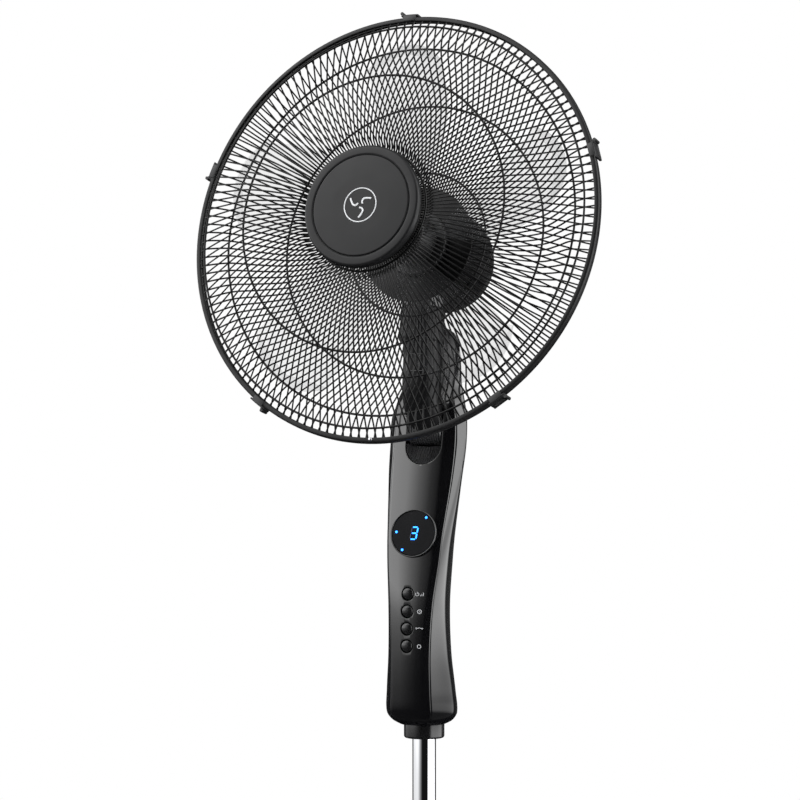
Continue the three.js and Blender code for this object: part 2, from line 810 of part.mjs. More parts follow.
// A hoop round the stator with the leg that carries the head on the swing shaft.
function motorBracket() {
  const hoop = ring(STATOR.outer + GAP, STATOR.outer + 3, ROTOR.back + 4, ROTOR.front - 1, 32);
  const leg = block(11, 8, 20, [0, -STATOR.outer - 6.3, -AXIS_AHEAD]);
  return hoop.add(leg);
}

function fanBlade() {
  const [chordSteps, spanSteps] = [5, 5];
  const thickness = 1.8;
  const hub = ring(SHAFT_RADIUS + GAP, HUB.radius, HUB.back, HUB.front, 24);
  const bladePoint = (s, c) => {
    const radius = HUB.radius - 3 + (BLADE_TIP - HUB.radius + 3) * s;
    const spread = THREE.MathUtils.degToRad(34 + 20 * Math.sin(Math.PI * Math.min(s * 1.15, 1)) ** 0.8);
    const lead = THREE.MathUtils.degToRad(16 * s * s);
    const rounding = 1 - 0.1 * (2 * c - 1) ** 2 * s ** 3;
    const angle = lead + spread * (c - 0.5);
    const pitch = 15 - 6 * s;
    const rise = (2 * c - 1) * pitch - 3 * (2 * c - 1) ** 2;
    const middle = (HUB.back + HUB.front) / 2 + 34 * s;
    const r = radius * rounding;
    return new THREE.Vector3(r * Math.cos(angle), r * Math.sin(angle), middle - rise);
  };
  const rows = [];
  for (let i = 0; i <= spanSteps; i++) {
    const row = [];
    for (let j = 0; j <= chordSteps; j++) row.push(bladePoint(i / spanSteps, j / chordSteps));
    const upper = row.map((p) => [p.x, p.y, p.z + thickness / 2]);
    const lower = row.map((p) => [p.x, p.y, p.z - thickness / 2]).reverse();
    rows.push([...upper, ...lower]);
  }
  const blade = skinned(rows);
  const blades = [];
  for (let i = 0; i < BLADES; i++)
    blades.push(moved(blade, new THREE.Matrix4().makeRotationZ(BLADE_TURN + (2 * Math.PI * i) / BLADES)));
  return union([hub, ...blades]).subtract(rod(SHAFT_RADIUS + GAP, -80, 20));
}

function bladeNut() {
  return turned([
    [SHAFT_RADIUS + GAP, HUB.front + GAP],
    [15, HUB.front + GAP],
    [15, HUB.front + 7],
    [9, HUB.front + 15],
    [0, HUB.front + 17],
    [0, HUB.front + 12],
    [SHAFT_RADIUS + GAP, HUB.front + 12],
  ], 24);
}

// The crank's arm, the link and the line from the swing axis to the anchor pin make a parallelogram,
// so the arm turns against the swing by the same angle.
const ANCHOR_IN_HEAD = new THREE.Vector2(ANCHOR.reach, 0).rotateAround(new THREE.Vector2(), -SWING);

function swingCrank() {
  const reach = ANCHOR.reach;
  const middle = (CRANK.low + CRANK.high) / 2;
  const arm = union([
    block(reach, 6, CRANK.high - CRANK.low, [reach / 2, 0, middle]),
    rod(6, CRANK.low, CRANK.high),
    rod(3.4, CRANK.high - 1, CRANK.high + 5, 12),
    shifted(rod(3.6, CRANK.low, CRANK.high, 12), reach, 0, 0),
    shifted(rod(1.8, LINK.low - 0.8, CRANK.low + 1, 12), reach, 0, 0),
  ]);
  return moved(arm, new THREE.Matrix4().makeRotationZ(-SWING).setPosition(0, CRANK.behind, 0));
}

function swingLink() {
  const length = CRANK.behind;
  const bar = block(4, length, LINK.high - LINK.low, [0, length / 2, (LINK.low + LINK.high) / 2]);
  const eyes = [0, length].map((y) => shifted(rod(LINK.end, LINK.low, LINK.high), 0, y, 0));
  const holes = [
    rod(ANCHOR.radius + GAP, 0, 60, 12),
    shifted(rod(1.8 + GAP, 0, 60, 12), 0, length, 0),
  ];
  const made = union([bar, ...eyes]).subtract(union(holes));
  return shifted(made, ANCHOR_IN_HEAD.x, ANCHOR_IN_HEAD.y, 0);
}

function addHead(root) {
  const neck = new THREE.Group();
  neck.position.copy(SWING_PIVOT);
  neck.rotation.x = -TILT;
  root.add(neck);
  const head = new THREE.Group();
  head.rotation.z = SWING;
  neck.add(head);
  const axis = new THREE.Group();
  axis.position.set(0, -AXIS_AHEAD, AXIS_HEIGHT);
  axis.rotation.x = Math.PI / 2;
  head.add(axis);

  piece(axis, "motor_front_cover", motorFrontCover(), "gloss");
  piece(axis, "motor_rear_cover", motorRearCover(), "gloss");
  piece(axis, "stator", stator(), "copper");
  piece(axis, "motor_bracket", motorBracket(), "steel");
  piece(axis, "front_bearing", ring(SHAFT_RADIUS + GAP, 9.6, -70, -63, 20), "steel");
  piece(axis, "rear_bearing", ring(SHAFT_RADIUS + GAP, 9.6, -128, -121, 20), "steel");
  piece(axis, "rear_guard", rearGuard(), "wire");
  piece(axis, "guard_nut", ring(20.3, 34, -59.2, -53.2, 24), "satin");
  piece(axis, "guard_ring", guardRing(), "satin");
  piece(axis, "front_guard", frontGuard(), "wire");
  piece(axis, "front_cap", frontCap(), "satin");
  piece(axis, "cap_badge", capBadge(), "satin");
  piece(axis, "ring_screw", shifted(rod(1.9, 6.1, 7.6, 12), 0, -217, 0), "steel");
  piece(axis, "motor_shaft", rod(SHAFT_RADIUS, -132, HUB.front + 11), "steel");
  piece(axis, "rotor_core", ring(SHAFT_RADIUS + GAP, ROTOR.radius, ROTOR.back, ROTOR.front), "iron");
  piece(axis, "fan_blade", fanBlade(), "clear");
  piece(axis, "blade_nut", bladeNut(), "satin");
  CLIP_ANGLES.forEach((degrees, i) => {
    const mesh = piece(axis, `clip_${i + 1}`, clip(), "satin");
    mesh.rotation.z = THREE.MathUtils.degToRad(degrees);
  });

  const bottom = AXIS_HEIGHT - STATOR.outer - 3.6;
  piece(head, "swing_shaft", rod(SWING_SHAFT_RADIUS, KNUCKLE.low + 5, bottom - 7), "steel");
  const motorLow = CRANK.high + 3;
  const swingMotor = ring(3.8, 11, motorLow, motorLow + 11);
  piece(head, "swing_motor", shifted(swingMotor, 0, CRANK.behind, 0), "steel");
  piece(head, "swing_crank", swingCrank(), "satin");
  piece(head, "swing_link", swingLink(), "steel");
}

const fan = new THREE.Group();
addStand(fan);
addMast(fan);
addNeck(fan);
addHead(fan);

export default fan;
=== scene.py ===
import json
import math

import bmesh
import bpy
import numpy as np
from mathutils import Matrix, Vector


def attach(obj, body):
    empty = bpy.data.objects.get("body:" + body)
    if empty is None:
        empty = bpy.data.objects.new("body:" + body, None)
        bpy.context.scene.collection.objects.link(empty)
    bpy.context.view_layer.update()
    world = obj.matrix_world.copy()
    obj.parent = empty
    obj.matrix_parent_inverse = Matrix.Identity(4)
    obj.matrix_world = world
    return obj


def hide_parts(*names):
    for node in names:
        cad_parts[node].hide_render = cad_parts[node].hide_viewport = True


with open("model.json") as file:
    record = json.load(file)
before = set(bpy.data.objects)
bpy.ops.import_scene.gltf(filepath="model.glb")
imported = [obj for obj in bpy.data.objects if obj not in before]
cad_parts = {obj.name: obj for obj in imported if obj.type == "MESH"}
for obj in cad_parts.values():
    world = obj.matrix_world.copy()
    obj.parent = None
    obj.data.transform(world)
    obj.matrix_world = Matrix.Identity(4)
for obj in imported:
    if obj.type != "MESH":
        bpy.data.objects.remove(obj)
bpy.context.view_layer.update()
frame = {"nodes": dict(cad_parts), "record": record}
MM = 0.001
TAU = 2 * math.pi

# ---- Frames ----

SWING_PIVOT = (0, -6, 942)
LEAN_BACK = math.radians(13.6)
SWUNG = math.radians(3.5)
AXIS_HEIGHT = 78.7
AXIS_AHEAD = 87.0
NECK = Matrix.Translation(SWING_PIVOT) @ Matrix.Rotation(-LEAN_BACK, 4, "X")
HEAD = NECK @ Matrix.Rotation(-SWUNG, 4, "Z")
AXIS = HEAD @ Matrix.Translation((0, -AXIS_AHEAD, AXIS_HEIGHT)) @ Matrix.Rotation(TAU / 4, 4, "X")
TILT_PIVOT = Vector((0, 15, 838))


# ---- Shapes ----


class Shape:
    """Points and faces that grow as parts are added."""

    def __init__(self):
        self.points = []
        self.faces = []

    def add(self, points, faces, matrix=None):
        start = len(self.points)
        if matrix is not None:
            points = [matrix @ Vector(p) for p in points]
        self.points += [tuple(p) for p in points]
        self.faces += [tuple(start + i for i in f) for f in faces]
        return self


def rounded(profile, radius, closed=False, steps=4):
    """A profile whose corners are cut back by radius and joined by short curves."""
    count = len(profile)
    out = []
    for i, p in enumerate(profile):
        if not closed and i in (0, count - 1):
            out.append(tuple(p))
            continue
        here = Vector(p)
        before = Vector(profile[i - 1])
        after = Vector(profile[(i + 1) % count])
        reach_in = min(radius, (here - before).length * 0.45)
        reach_out = min(radius, (here - after).length * 0.45)
        a = here + (before - here).normalized() * reach_in
        b = here + (after - here).normalized() * reach_out
        for k in range(steps + 1):
            t = k / steps
            out.append(tuple((1 - t) ** 2 * a + 2 * t * (1 - t) * here + t * t * b))
    return out


def lathe(shape, profile, segments=96, matrix=None, ribs=0, rib_depth=0.0, rib_span=None, gaps=None):
    """Turns a profile of (radius, height) about Z.

    Ribs are shallow flutes between two heights, and gaps(row, segment) leaves faces out.
    A profile that doesn't touch the axis closes on itself, unless gaps are given.
    """
    on_axis = profile[0][0] == 0 or profile[-1][0] == 0
    points, rings = [], []
    for r, h in profile:
        if r == 0:
            rings.append([len(points)])
            points.append((0, 0, h))
            continue
        row = []
        for i in range(segments):
            a = TAU * i / segments
            cut = 0.0
            if ribs and rib_span[0] <= h <= rib_span[1]:
                cut = rib_depth * (0.5 - 0.5 * math.cos(ribs * a)) ** 3
            row.append(len(points))
            points.append(((r - cut) * math.cos(a), (r - cut) * math.sin(a), h))
        rings.append(row)
    faces = []
    last = len(rings) if not on_axis and gaps is None else len(rings) - 1
    for k in range(last):
        low, high = rings[k], rings[(k + 1) % len(rings)]
        for i in range(segments):
            j = (i + 1) % segments
            if gaps is not None and gaps(k, i):
                continue
            if len(low) == 1 and len(high) == 1:
                continue
            if len(low) == 1:
                faces.append((low[0], high[j], high[i]))
            elif len(high) == 1:
                faces.append((low[i], low[j], high[0]))
            else:
                faces.append((low[i], low[j], high[j], high[i]))
    return shape.add(points, faces, matrix)


def grid(shape, rows, close_around=False, matrix=None):
    """Faces between rows of points of equal length."""
    width = len(rows[0])
    points = [p for row in rows for p in row]
    faces = []
    for k in range(len(rows) - 1):
        for i in range(width if close_around else width - 1):
            j = (i + 1) % width
            faces.append((k * width + i, k * width + j, (k + 1) * width + j, (k + 1) * width + i))
    return shape.add(points, faces, matrix)


def closed_loft(shape, rows, matrix=None):
    """Rings of points joined in order, with a fan over each end."""
    width = len(rows[0])
    grid(shape, rows, close_around=True, matrix=matrix)
    for row, flip in ((rows[0], True), (rows[-1], False)):
        middle = sum((Vector(p) for p in row), Vector()) / width
        points = [tuple(p) for p in row] + [tuple(middle)]
        faces = [(i, (i + 1) % width, width) for i in range(width)]
        shape.add(points, [f[::-1] for f in faces] if flip else faces, matrix)
    return shape


def tube(shape, path, radius, sides=6, closed=False, matrix=None):
    """A round tube along a path of points."""
    path = [Vector(p) for p in path]
    count = len(path)
    rows = []
    side = None
    for i, p in enumerate(path):
        before = path[i - 1] if closed or i else p
        after = path[(i + 1) % count] if closed or i + 1 < count else p
        run = (after - before).normalized()
        if side is None:
            side = run.orthogonal().normalized()
        side = (side - run * side.dot(run)).normalized()
        up = run.cross(side)
        turn = [TAU * k / sides for k in range(sides)]
        rows.append([p + (side * math.cos(a) + up * math.sin(a)) * radius for a in turn])
    if closed:
        return grid(shape, rows + [rows[0]], close_around=True, matrix=matrix)
    return closed_loft(shape, rows, matrix)


def block(shape, size, centre, bevel, matrix=None, segments=3):
    """A box with rounded edges."""
    bm = bmesh.new()
    bmesh.ops.create_cube(bm, size=1)
    bmesh.ops.scale(bm, vec=size, verts=bm.verts)
    bmesh.ops.bevel(bm, geom=list(bm.edges), offset=bevel, segments=segments, profile=0.5, affect="EDGES")
    bmesh.ops.translate(bm, vec=centre, verts=bm.verts)
    bm.verts.index_update()
    points = [tuple(v.co) for v in bm.verts]
    faces = [tuple(v.index for v in f.verts) for f in bm.faces]
    bm.free()
    return shape.add(points, faces, matrix)


def smooth_path(points, per_span=6):
    """A curve through points, eased between them."""
    pts = [Vector(p) for p in points]
    out = []
    for i in range(len(pts) - 1):
        a, b = pts[max(i - 1, 0)], pts[i]
        c, d = pts[i + 1], pts[min(i + 2, len(pts) - 1)]
        for k in range(per_span):
            t = k / per_span
            out.append(
                0.5
                * (2 * b + (c - a) * t + (2 * a - 5 * b + 4 * c - d) * t**2 + (3 * b - a - 3 * c + d) * t**3)
            )
    return out + [pts[-1]]


def piece(name, shape, body, material, replaces=(), sharp=38, weld=0.01, keep_open=False):
    """Makes the mesh, in metres, and fixes it to its CAD body."""
    mesh = bpy.data.meshes.new(name)
    mesh.from_pydata([tuple(c * MM for c in p) for p in shape.points], [], shape.faces)
    obj = bpy.data.objects.new(name, mesh)
    bpy.context.scene.collection.objects.link(obj)
    bm = bmesh.new()
    bm.from_mesh(mesh)
    bmesh.ops.remove_doubles(bm, verts=bm.verts, dist=weld * MM)
    bmesh.ops.dissolve_degenerate(bm, edges=bm.edges, dist=1e-7)
    if not keep_open:
        bmesh.ops.recalc_face_normals(bm, faces=bm.faces)
    bm.to_mesh(mesh)
    bm.free()
    finish_mesh(obj, sharp)
    mesh.materials.append(material)
    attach(obj, body)
    if replaces:
        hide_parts(*replaces)
    return obj


def finish_mesh(obj, sharp):
    obj.data.shade_smooth()
    obj.data.set_sharp_from_angle(angle=math.radians(sharp))


def bake_modifiers(obj):
    """Replaces the object's mesh by what its modifiers make of it."""
    bpy.context.view_layer.update()
    graph = bpy.context.evaluated_depsgraph_get()
    made = bpy.data.meshes.new_from_object(obj.evaluated_get(graph))
    obj.modifiers.clear()
    obj.data = made


# ---- Materials ----

FULL_SHINE = 0.5
FULL_COAT = 0.35


def new_material(name):
    material = bpy.data.materials.new(name)
    material.use_nodes = True
    tree = material.node_tree
    shader = tree.nodes["Principled BSDF"]
    return material, tree, shader


def noise(tree, scale, detail=3.0, stretch=(1, 1, 1)):
    coords = tree.nodes.new("ShaderNodeTexCoord")
    mapping = tree.nodes.new("ShaderNodeMapping")
    mapping.inputs["Scale"].default_value = stretch
    texture = tree.nodes.new("ShaderNodeTexNoise")
    texture.inputs["Scale"].default_value = scale
    texture.inputs["Detail"].default_value = detail
    tree.links.new(coords.outputs["Object"], mapping.inputs["Vector"])
    tree.links.new(mapping.outputs["Vector"], texture.inputs["Vector"])
    return texture.outputs["Fac"]


def spread(tree, value, low, high):
    """Maps a noise value to a range."""
    node = tree.nodes.new("ShaderNodeMapRange")
    node.inputs["From Min"].default_value = 0.3
    node.inputs["From Max"].default_value = 0.7
    node.inputs["To Min"].default_value = low
    node.inputs["To Max"].default_value = high
    tree.links.new(value, node.inputs["Value"])
    return node.outputs["Result"]


def tint(tree, value, dark, light):
    ramp = tree.nodes.new("ShaderNodeValToRGB")
    ramp.color_ramp.elements[0].position = 0.3
    ramp.color_ramp.elements[1].position = 0.7
    ramp.color_ramp.elements[0].color = (*dark, 1)
    ramp.color_ramp.elements[1].color = (*light, 1)
    tree.links.new(value, ramp.inputs["Fac"])
    return ramp.outputs["Color"]


def bump(tree, shader, value, strength, distance):
    node = tree.nodes.new("ShaderNodeBump")
    node.inputs["Strength"].default_value = strength
    node.inputs["Distance"].default_value = distance
    tree.links.new(value, node.inputs["Height"])
    tree.links.new(node.outputs["Normal"], shader.inputs["Normal"])


def moulded(name, dark, light, rough, grain, depth, coat=0.0, metal=0.0, shine=FULL_SHINE):
    """Moulded or painted surface: faint patches of tone and roughness, and a fine grain."""
    material, tree, shader = new_material(name)
    tree.links.new(tint(tree, noise(tree, 14), dark, light), shader.inputs["Base Color"])
    tree.links.new(spread(tree, noise(tree, 60, 4), rough[0], rough[1]), shader.inputs["Roughness"])
    bump(tree, shader, noise(tree, grain, 2), depth, 0.00004)
    shader.inputs["Metallic"].default_value = metal
    shader.inputs["Specular IOR Level"].default_value = shine
    shader.inputs["Coat Weight"].default_value = coat
    shader.inputs["Coat Roughness"].default_value = 0.04
    return material


def painted_shade_below(material, low, high, least):
    """Painted shade: the shine and coat are turned down from the high height to the low one, in metres, to a
    least share, so the reflections darken towards the bottom.
    """
    tree = material.node_tree
    shader = tree.nodes["Principled BSDF"]
    coords = tree.nodes.new("ShaderNodeTexCoord")
    split = tree.nodes.new("ShaderNodeSeparateXYZ")
    tree.links.new(coords.outputs["Object"], split.inputs["Vector"])
    for socket, full in (("Specular IOR Level", FULL_SHINE), ("Coat Weight", FULL_COAT)):
        fade = tree.nodes.new("ShaderNodeMapRange")
        fade.inputs["From Min"].default_value = low
        fade.inputs["From Max"].default_value = high
        fade.inputs["To Min"].default_value = least * full
        fade.inputs["To Max"].default_value = full
        tree.links.new(split.outputs["Z"], fade.inputs["Value"])
        tree.links.new(fade.outputs["Result"], shader.inputs[socket])


def brushed(name, dark, light, rough, stretch):
    material, tree, shader = new_material(name)
    shader.inputs["Metallic"].default_value = 1.0
    lines = noise(tree, 220, 4, stretch)
    tree.links.new(tint(tree, lines, dark, light), shader.inputs["Base Color"])
    tree.links.new(spread(tree, lines, rough[0], rough[1]), shader.inputs["Roughness"])
    bump(tree, shader, lines, 0.12, 0.00003)
    return material


def smoke_blade():
    """Clear, faintly smoked plastic that looks denser where it is seen edge on."""
    material, tree, shader = new_material("clear_smoke_blade")
    smoke = tint(tree, noise(tree, 9), (0.06, 0.061, 0.064), (0.1, 0.102, 0.106))
    tree.links.new(smoke, shader.inputs["Base Color"])
    tree.links.new(spread(tree, noise(tree, 35, 4), 0.1, 0.22), shader.inputs["Roughness"])
    bump(tree, shader, noise(tree, 70, 2), 0.08, 0.0002)
    edge = tree.nodes.new("ShaderNodeLayerWeight")
    edge.inputs["Blend"].default_value = 0.25
    density = tree.nodes.new("ShaderNodeMapRange")
    density.inputs["To Min"].default_value = 0.06
    density.inputs["To Max"].default_value = 0.32
    tree.links.new(edge.outputs["Facing"], density.inputs["Value"])
    tree.links.new(density.outputs["Result"], shader.inputs["Alpha"])
    shader.inputs["Specular IOR Level"].default_value = 0.12
    return material


def glowing(name, colour, strength):
    material, tree, shader = new_material(name)
    shade = tint(tree, noise(tree, 800), tuple(0.85 * c for c in colour), colour)
    tree.links.new(shade, shader.inputs["Base Color"])
    tree.links.new(shade, shader.inputs["Emission Color"])
    shader.inputs["Emission Strength"].default_value = strength
    shader.inputs["Roughness"].default_value = 0.3
    return material


GLOSS = moulded(
    "piano_black", (0.0025, 0.0025, 0.003), (0.0045, 0.0045, 0.005), (0.03, 0.06), 300, 0.04, coat=FULL_COAT
)
HOUSING_BLACK = moulded(
    "housing_black", (0.0025, 0.0025, 0.003), (0.0045, 0.0045, 0.005), (0.03, 0.06), 300, 0.04
)
# Painted shade: the housing's reflections are dimmed towards its bottom, standing in for the softboxes
# lighting less of it there.
painted_shade_below(HOUSING_BLACK, low=0.545, high=0.652, least=0.15)
RIBBED = moulded("ribbed_grey", (0.026, 0.0265, 0.028), (0.036, 0.0365, 0.038), (0.26, 0.34), 900, 0.2)
SATIN = moulded(
    "satin_black", (0.007, 0.007, 0.0075), (0.011, 0.0112, 0.0118), (0.32, 0.42), 1600, 0.35, shine=0.3
)
CAP_SATIN = moulded(
    "cap_black", (0.0062, 0.0063, 0.0068), (0.009, 0.0092, 0.0098), (0.32, 0.4), 1800, 0.3, shine=0.2
)
NECK_SATIN = moulded(
    "neck_black", (0.0045, 0.0046, 0.005), (0.007, 0.0071, 0.0076), (0.3, 0.4), 1700, 0.3, shine=0.14
)
RIM = moulded(
    "rim_black", (0.006, 0.006, 0.0063), (0.011, 0.011, 0.0114), (0.28, 0.38), 1500, 0.3, shine=0.18
)
WIRE = moulded(
    "wire_enamel", (0.002, 0.002, 0.0022), (0.004, 0.004, 0.0042), (0.24, 0.34), 700, 0.3, shine=0.16
)
BASE_GLOSS = moulded(
    "base_black", (0.006, 0.006, 0.0065), (0.01, 0.01, 0.0105), (0.1, 0.18), 260, 0.12, coat=0.3
)
POLE_PAINT = moulded(
    "pole_paint", (0.008, 0.008, 0.0085), (0.013, 0.013, 0.0135), (0.16, 0.26), 420, 0.3, coat=0.2
)
RUBBER = moulded("rubber", (0.015, 0.015, 0.015), (0.03, 0.03, 0.03), (0.75, 0.9), 900, 0.5)
SCREEN = moulded(
    "screen_black", (0.004, 0.0042, 0.005), (0.006, 0.0062, 0.007), (0.5, 0.6), 200, 0.1, shine=0.1
)
BOARD = moulded("circuit_board", (0.01, 0.07, 0.03), (0.02, 0.12, 0.05), (0.4, 0.6), 500, 0.4)
IRON = moulded("cast_iron", (0.05, 0.05, 0.052), (0.1, 0.1, 0.1), (0.55, 0.8), 260, 1.0, metal=0.8)
COPPER = moulded("winding", (0.45, 0.2, 0.08), (0.6, 0.3, 0.13), (0.3, 0.5), 900, 0.9, metal=0.9)
PRINT = moulded("print_grey", (0.55, 0.56, 0.58), (0.68, 0.69, 0.71), (0.45, 0.6), 900, 0.2)
KEY = moulded(
    "key_black", (0.005, 0.005, 0.0055), (0.008, 0.008, 0.0085), (0.16, 0.24), 900, 0.15, shine=0.4
)
STEEL = brushed("bright_steel", (0.42, 0.42, 0.44), (0.62, 0.62, 0.64), (0.22, 0.38), (1, 1, 12))
CHROME = brushed("chrome", (0.78, 0.79, 0.81), (0.86, 0.87, 0.89), (0.025, 0.06), (1, 1, 0.05))
BLADE = smoke_blade()
LIT = glowing("lit_blue", (0.02, 0.22, 1.0), 4.5)
# Painted glow: the segments that are off are given a faint emission so that their ghost shows.
UNLIT_PAINTED_GLOW = glowing("unlit_blue_painted_glow", (0.002, 0.012, 0.05), 0.3)
SLOT_MATERIALS = {
    "foot": RUBBER,
    "base_gloss": BASE_GLOSS,
    "satin": SATIN,
    "gloss": GLOSS,
    "weight": IRON,
    "chrome": CHROME,
    "steel": STEEL,
    "pole": POLE_PAINT,
    "wire": WIRE,
    "blade": BLADE,
    "copper": COPPER,
    "screen": SCREEN,
    "board": BOARD,
}

for part in frame["record"]["subparts"]:
    cad = frame["nodes"][part["node"]]
    cad.data.materials.clear()
    cad.data.materials.append(SLOT_MATERIALS[part["material_slot"]])


# ---- Stand ----

FEET = 4
FOOT_REACH = 165


def build_stand():
    cover = Shape()
    outline = [(191, 4.3), (194.2, 4.5), (195, 7), (194.4, 11.5), (188, 16), (150, 24), (90, 31), (44, 37)]
    outline += [(31, 40.5), (26.5, 47), (26, 58), (24, 62), (16.3, 62), (16.3, 59.2)]
    outline += [(23, 58), (24, 45), (90, 28), (150, 21), (190, 11)]
    lathe(cover, rounded(outline, 5, closed=True), 160)
    lathe(cover, rounded([(152, 24.3), (154, 24.3), (154, 22.9), (152, 23.2)], 0.4, closed=True), 160)
    piece("base_shell", cover, "stand", BASE_GLOSS, ["base_cover"])
    pole = Shape()
    lathe(pole, rounded([(14.2, 10), (16, 10), (16, 410), (14.2, 410)], 0.5, closed=True), 64)
    piece("outer_tube", pole, "stand", POLE_PAINT, ["lower_pole"])
    collet = Shape()
    outline = [(16.3, 380), (20.4, 380), (21, 384), (21, 402), (18, 406.5)]
    outline += [(18, 430), (12.3, 430), (12.3, 410.4), (16.3, 410.3)]
    lathe(collet, rounded(outline, 1.0, closed=True), 72)
    piece("collet_sleeve", collet, "stand", SATIN, ["height_collet"])
    for i in range(FEET):
        a = TAU / 8 + i * TAU / FEET
        foot = Shape()
        outline = [(0, 0), (11, 0), (11, 4), (0, 4)]
        place = Matrix.Translation((FOOT_REACH * math.cos(a), FOOT_REACH * math.sin(a), 0))
        lathe(foot, rounded(outline, 1.2), 36, place)
        piece(f"rubber_foot_{i + 1}", foot, "stand", RUBBER, [f"foot_{i + 1}"])


def build_height_nut():
    nut = Shape()
    outline = [(18.3, 408.6), (22, 408.6), (24.5, 412.6), (24.5, 440)]
    outline += [(19.5, 451.4), (12.4, 452), (12.4, 431), (18.3, 431)]
    profile = rounded(outline, 1.6, closed=True, steps=3)
    lathe(nut, profile, 240, ribs=30, rib_depth=1.1, rib_span=(411, 441.5))
    piece("knurled_nut", nut, "height_nut", SATIN, ["height_nut"])


# ---- Control housing ----

# height, panel half width, panel edge y, panel bulge, widest half width, its y, depth behind it
HOUSING = np.array(
    [
        [540, 13, -25, 2.5, 24, -5, 20],
        [544, 17, -31, 3, 31.5, -5.5, 25.5],
        [552, 20.5, -36, 3, 36.5, -6, 30],
        [573, 20.2, -37.5, 3, 35.7, -8, 29],
        [613, 19.9, -38, 3, 32.1, -11, 28],
        [660, 22.3, -36, 3, 31, -12, 27.5],
        [705, 27, -29.5, 3.5, 33.2, -10, 28],
        [733, 28.8, -24.2, 4, 35, -7.6, 28],
        [786, 32, -8.5, 5, 39.2, 0.7, 27.5],
        [822, 32.6, 1, 5, 41.2, 9.6, 25],
        [850, 31.5, 5, 4, 40, 15, 23],
        [868, 28, 8, 3, 36, 19, 20],
        [884, 24, 17, 2, 31.5, 24, 15.5],
        [915, 22, 21, 2, 29, 26, 13.5],
        [935, 17, 24, 1.5, 24, 27.5, 11],
        [943, 9, 27, 1, 13, 29, 6.5],
    ]
)
SEAM = 0.8
SEAM_HALF = 0.12
WALL = 2.4
HOUSING_FLOOR = 540.0
HOOD_TOP = 942.5
POLE_HOLE = 12.4
NOTCH_HALF = 19.6
NOTCH_CENTRE = 821.6
FRONT_TOP = 881.0


def station(z):
    """The housing's outline values at height z."""
    heights = HOUSING[:, 0]
    i = int(np.clip(np.searchsorted(heights, z, side="right") - 1, 0, len(heights) - 2))

    def slope(k):
        a, b = max(k - 1, 0), min(k + 1, len(heights) - 1)
        return (HOUSING[b, 1:] - HOUSING[a, 1:]) / (heights[b] - heights[a])

    span = heights[i + 1] - heights[i]
    t = (z - heights[i]) / span
    return (
        (2 * t**3 - 3 * t**2 + 1) * HOUSING[i, 1:]
        + (t**3 - 2 * t**2 + t) * span * slope(i)
        + (3 * t**2 - 2 * t**3) * HOUSING[i + 1, 1:]
        + (t**3 - t**2) * span * slope(i + 1)
    )


def panel_y(x, z):
    panel, edge, bulge = station(z)[:3]
    return edge - bulge * (1 - (x / panel) ** 2)


def flank(z):
    """Points from the panel's edge round to the middle of the back, on the right-hand side."""
    panel, edge, _, side, mid, back = station(z)
    control = (side, min(edge + (side - panel), mid - 0.5))
    out = []
    for k in range(17):
        t = k / 16
        w = ((1 - t) ** 2, 2 * t * (1 - t), t * t)
        x = w[0] * panel + w[1] * control[0] + w[2] * side
        y = w[0] * edge + w[1] * control[1] + w[2] * mid
        out.append((x, y))
    for k in range(1, 25):
        a = TAU / 4 * k / 24
        out.append((side * math.cos(a), mid + back * math.sin(a)))
    return np.array(out)


def resample(points, count):
    steps = np.hypot(*np.diff(points, axis=0).T)
    run = np.concatenate([[0], np.cumsum(steps)])
    at = np.linspace(0, run[-1], count)
    return np.column_stack([np.interp(at, run, points[:, 0]), np.interp(at, run, points[:, 1])])


def cut_at(points, y):
    """Splits a line whose y only grows into the part before y and the part after it."""
    x = np.interp(y, points[:, 1], points[:, 0])
    before = points[points[:, 1] < y - 1e-6]
    after = points[points[:, 1] > y + 1e-6]
    return np.vstack([before, [[x, y]]]), np.vstack([[[x, y]], after])


def notch_half(z):
    """Half width of the opening that the neck comes out of."""
    below = NOTCH_CENTRE - z
    if below >= NOTCH_HALF:
        return 0.0
    half = math.sqrt(NOTCH_HALF**2 - max(below, 0) ** 2)
    t = min(max((z - 856) / 10, 0), 1)
    return half + 5 * t * t * (3 - 2 * t)


def housing_heights(top):
    low = [HOUSING_FLOOR + 16 * (1 - math.cos(TAU / 4 * k / 10)) for k in range(10)]
    body = list(np.arange(556.5, NOTCH_CENTRE - NOTCH_HALF - 0.1, 4.2))
    bend = [NOTCH_CENTRE - NOTCH_HALF * math.cos(TAU / 4 * k / 12) for k in range(13)]
    rest = list(np.linspace(NOTCH_CENTRE + 2, top, int((top - NOTCH_CENTRE) / 3)))
    return low + body + bend + rest


def to_pole_hole(row):
    """The floor of a shell: its lowest row drawn in to the pole's hole."""
    return [
        (x * POLE_HOLE / math.hypot(x, y), y * POLE_HOLE / math.hypot(x, y), HOUSING_FLOOR)
        for x, y, _ in row
    ]


def shell(name, rows, replaces, cutters=()):
    shape = Shape()
    for side in (1, -1):
        mirrored = [[(side * x, y, z) for x, y, z in row] for row in rows]
        if side < 0:
            mirrored = [row[::-1] for row in mirrored]
        grid(shape, mirrored)
    obj = piece(name, shape, "mast", HOUSING_BLACK, replaces, keep_open=True, weld=0.05)
    thick = obj.modifiers.new("wall", "SOLIDIFY")
    thick.thickness = WALL * MM
    thick.offset = -1
    thick.use_even_offset = False
    bake_modifiers(obj)
    cut_away(obj, cutters)
    edge = obj.modifiers.new("edge", "BEVEL")
    edge.width = 0.22 * MM
    edge.segments = 2
    edge.limit_method = "ANGLE"
    edge.angle_limit = math.radians(60)
    bake_modifiers(obj)
    finish_mesh(obj, 32)


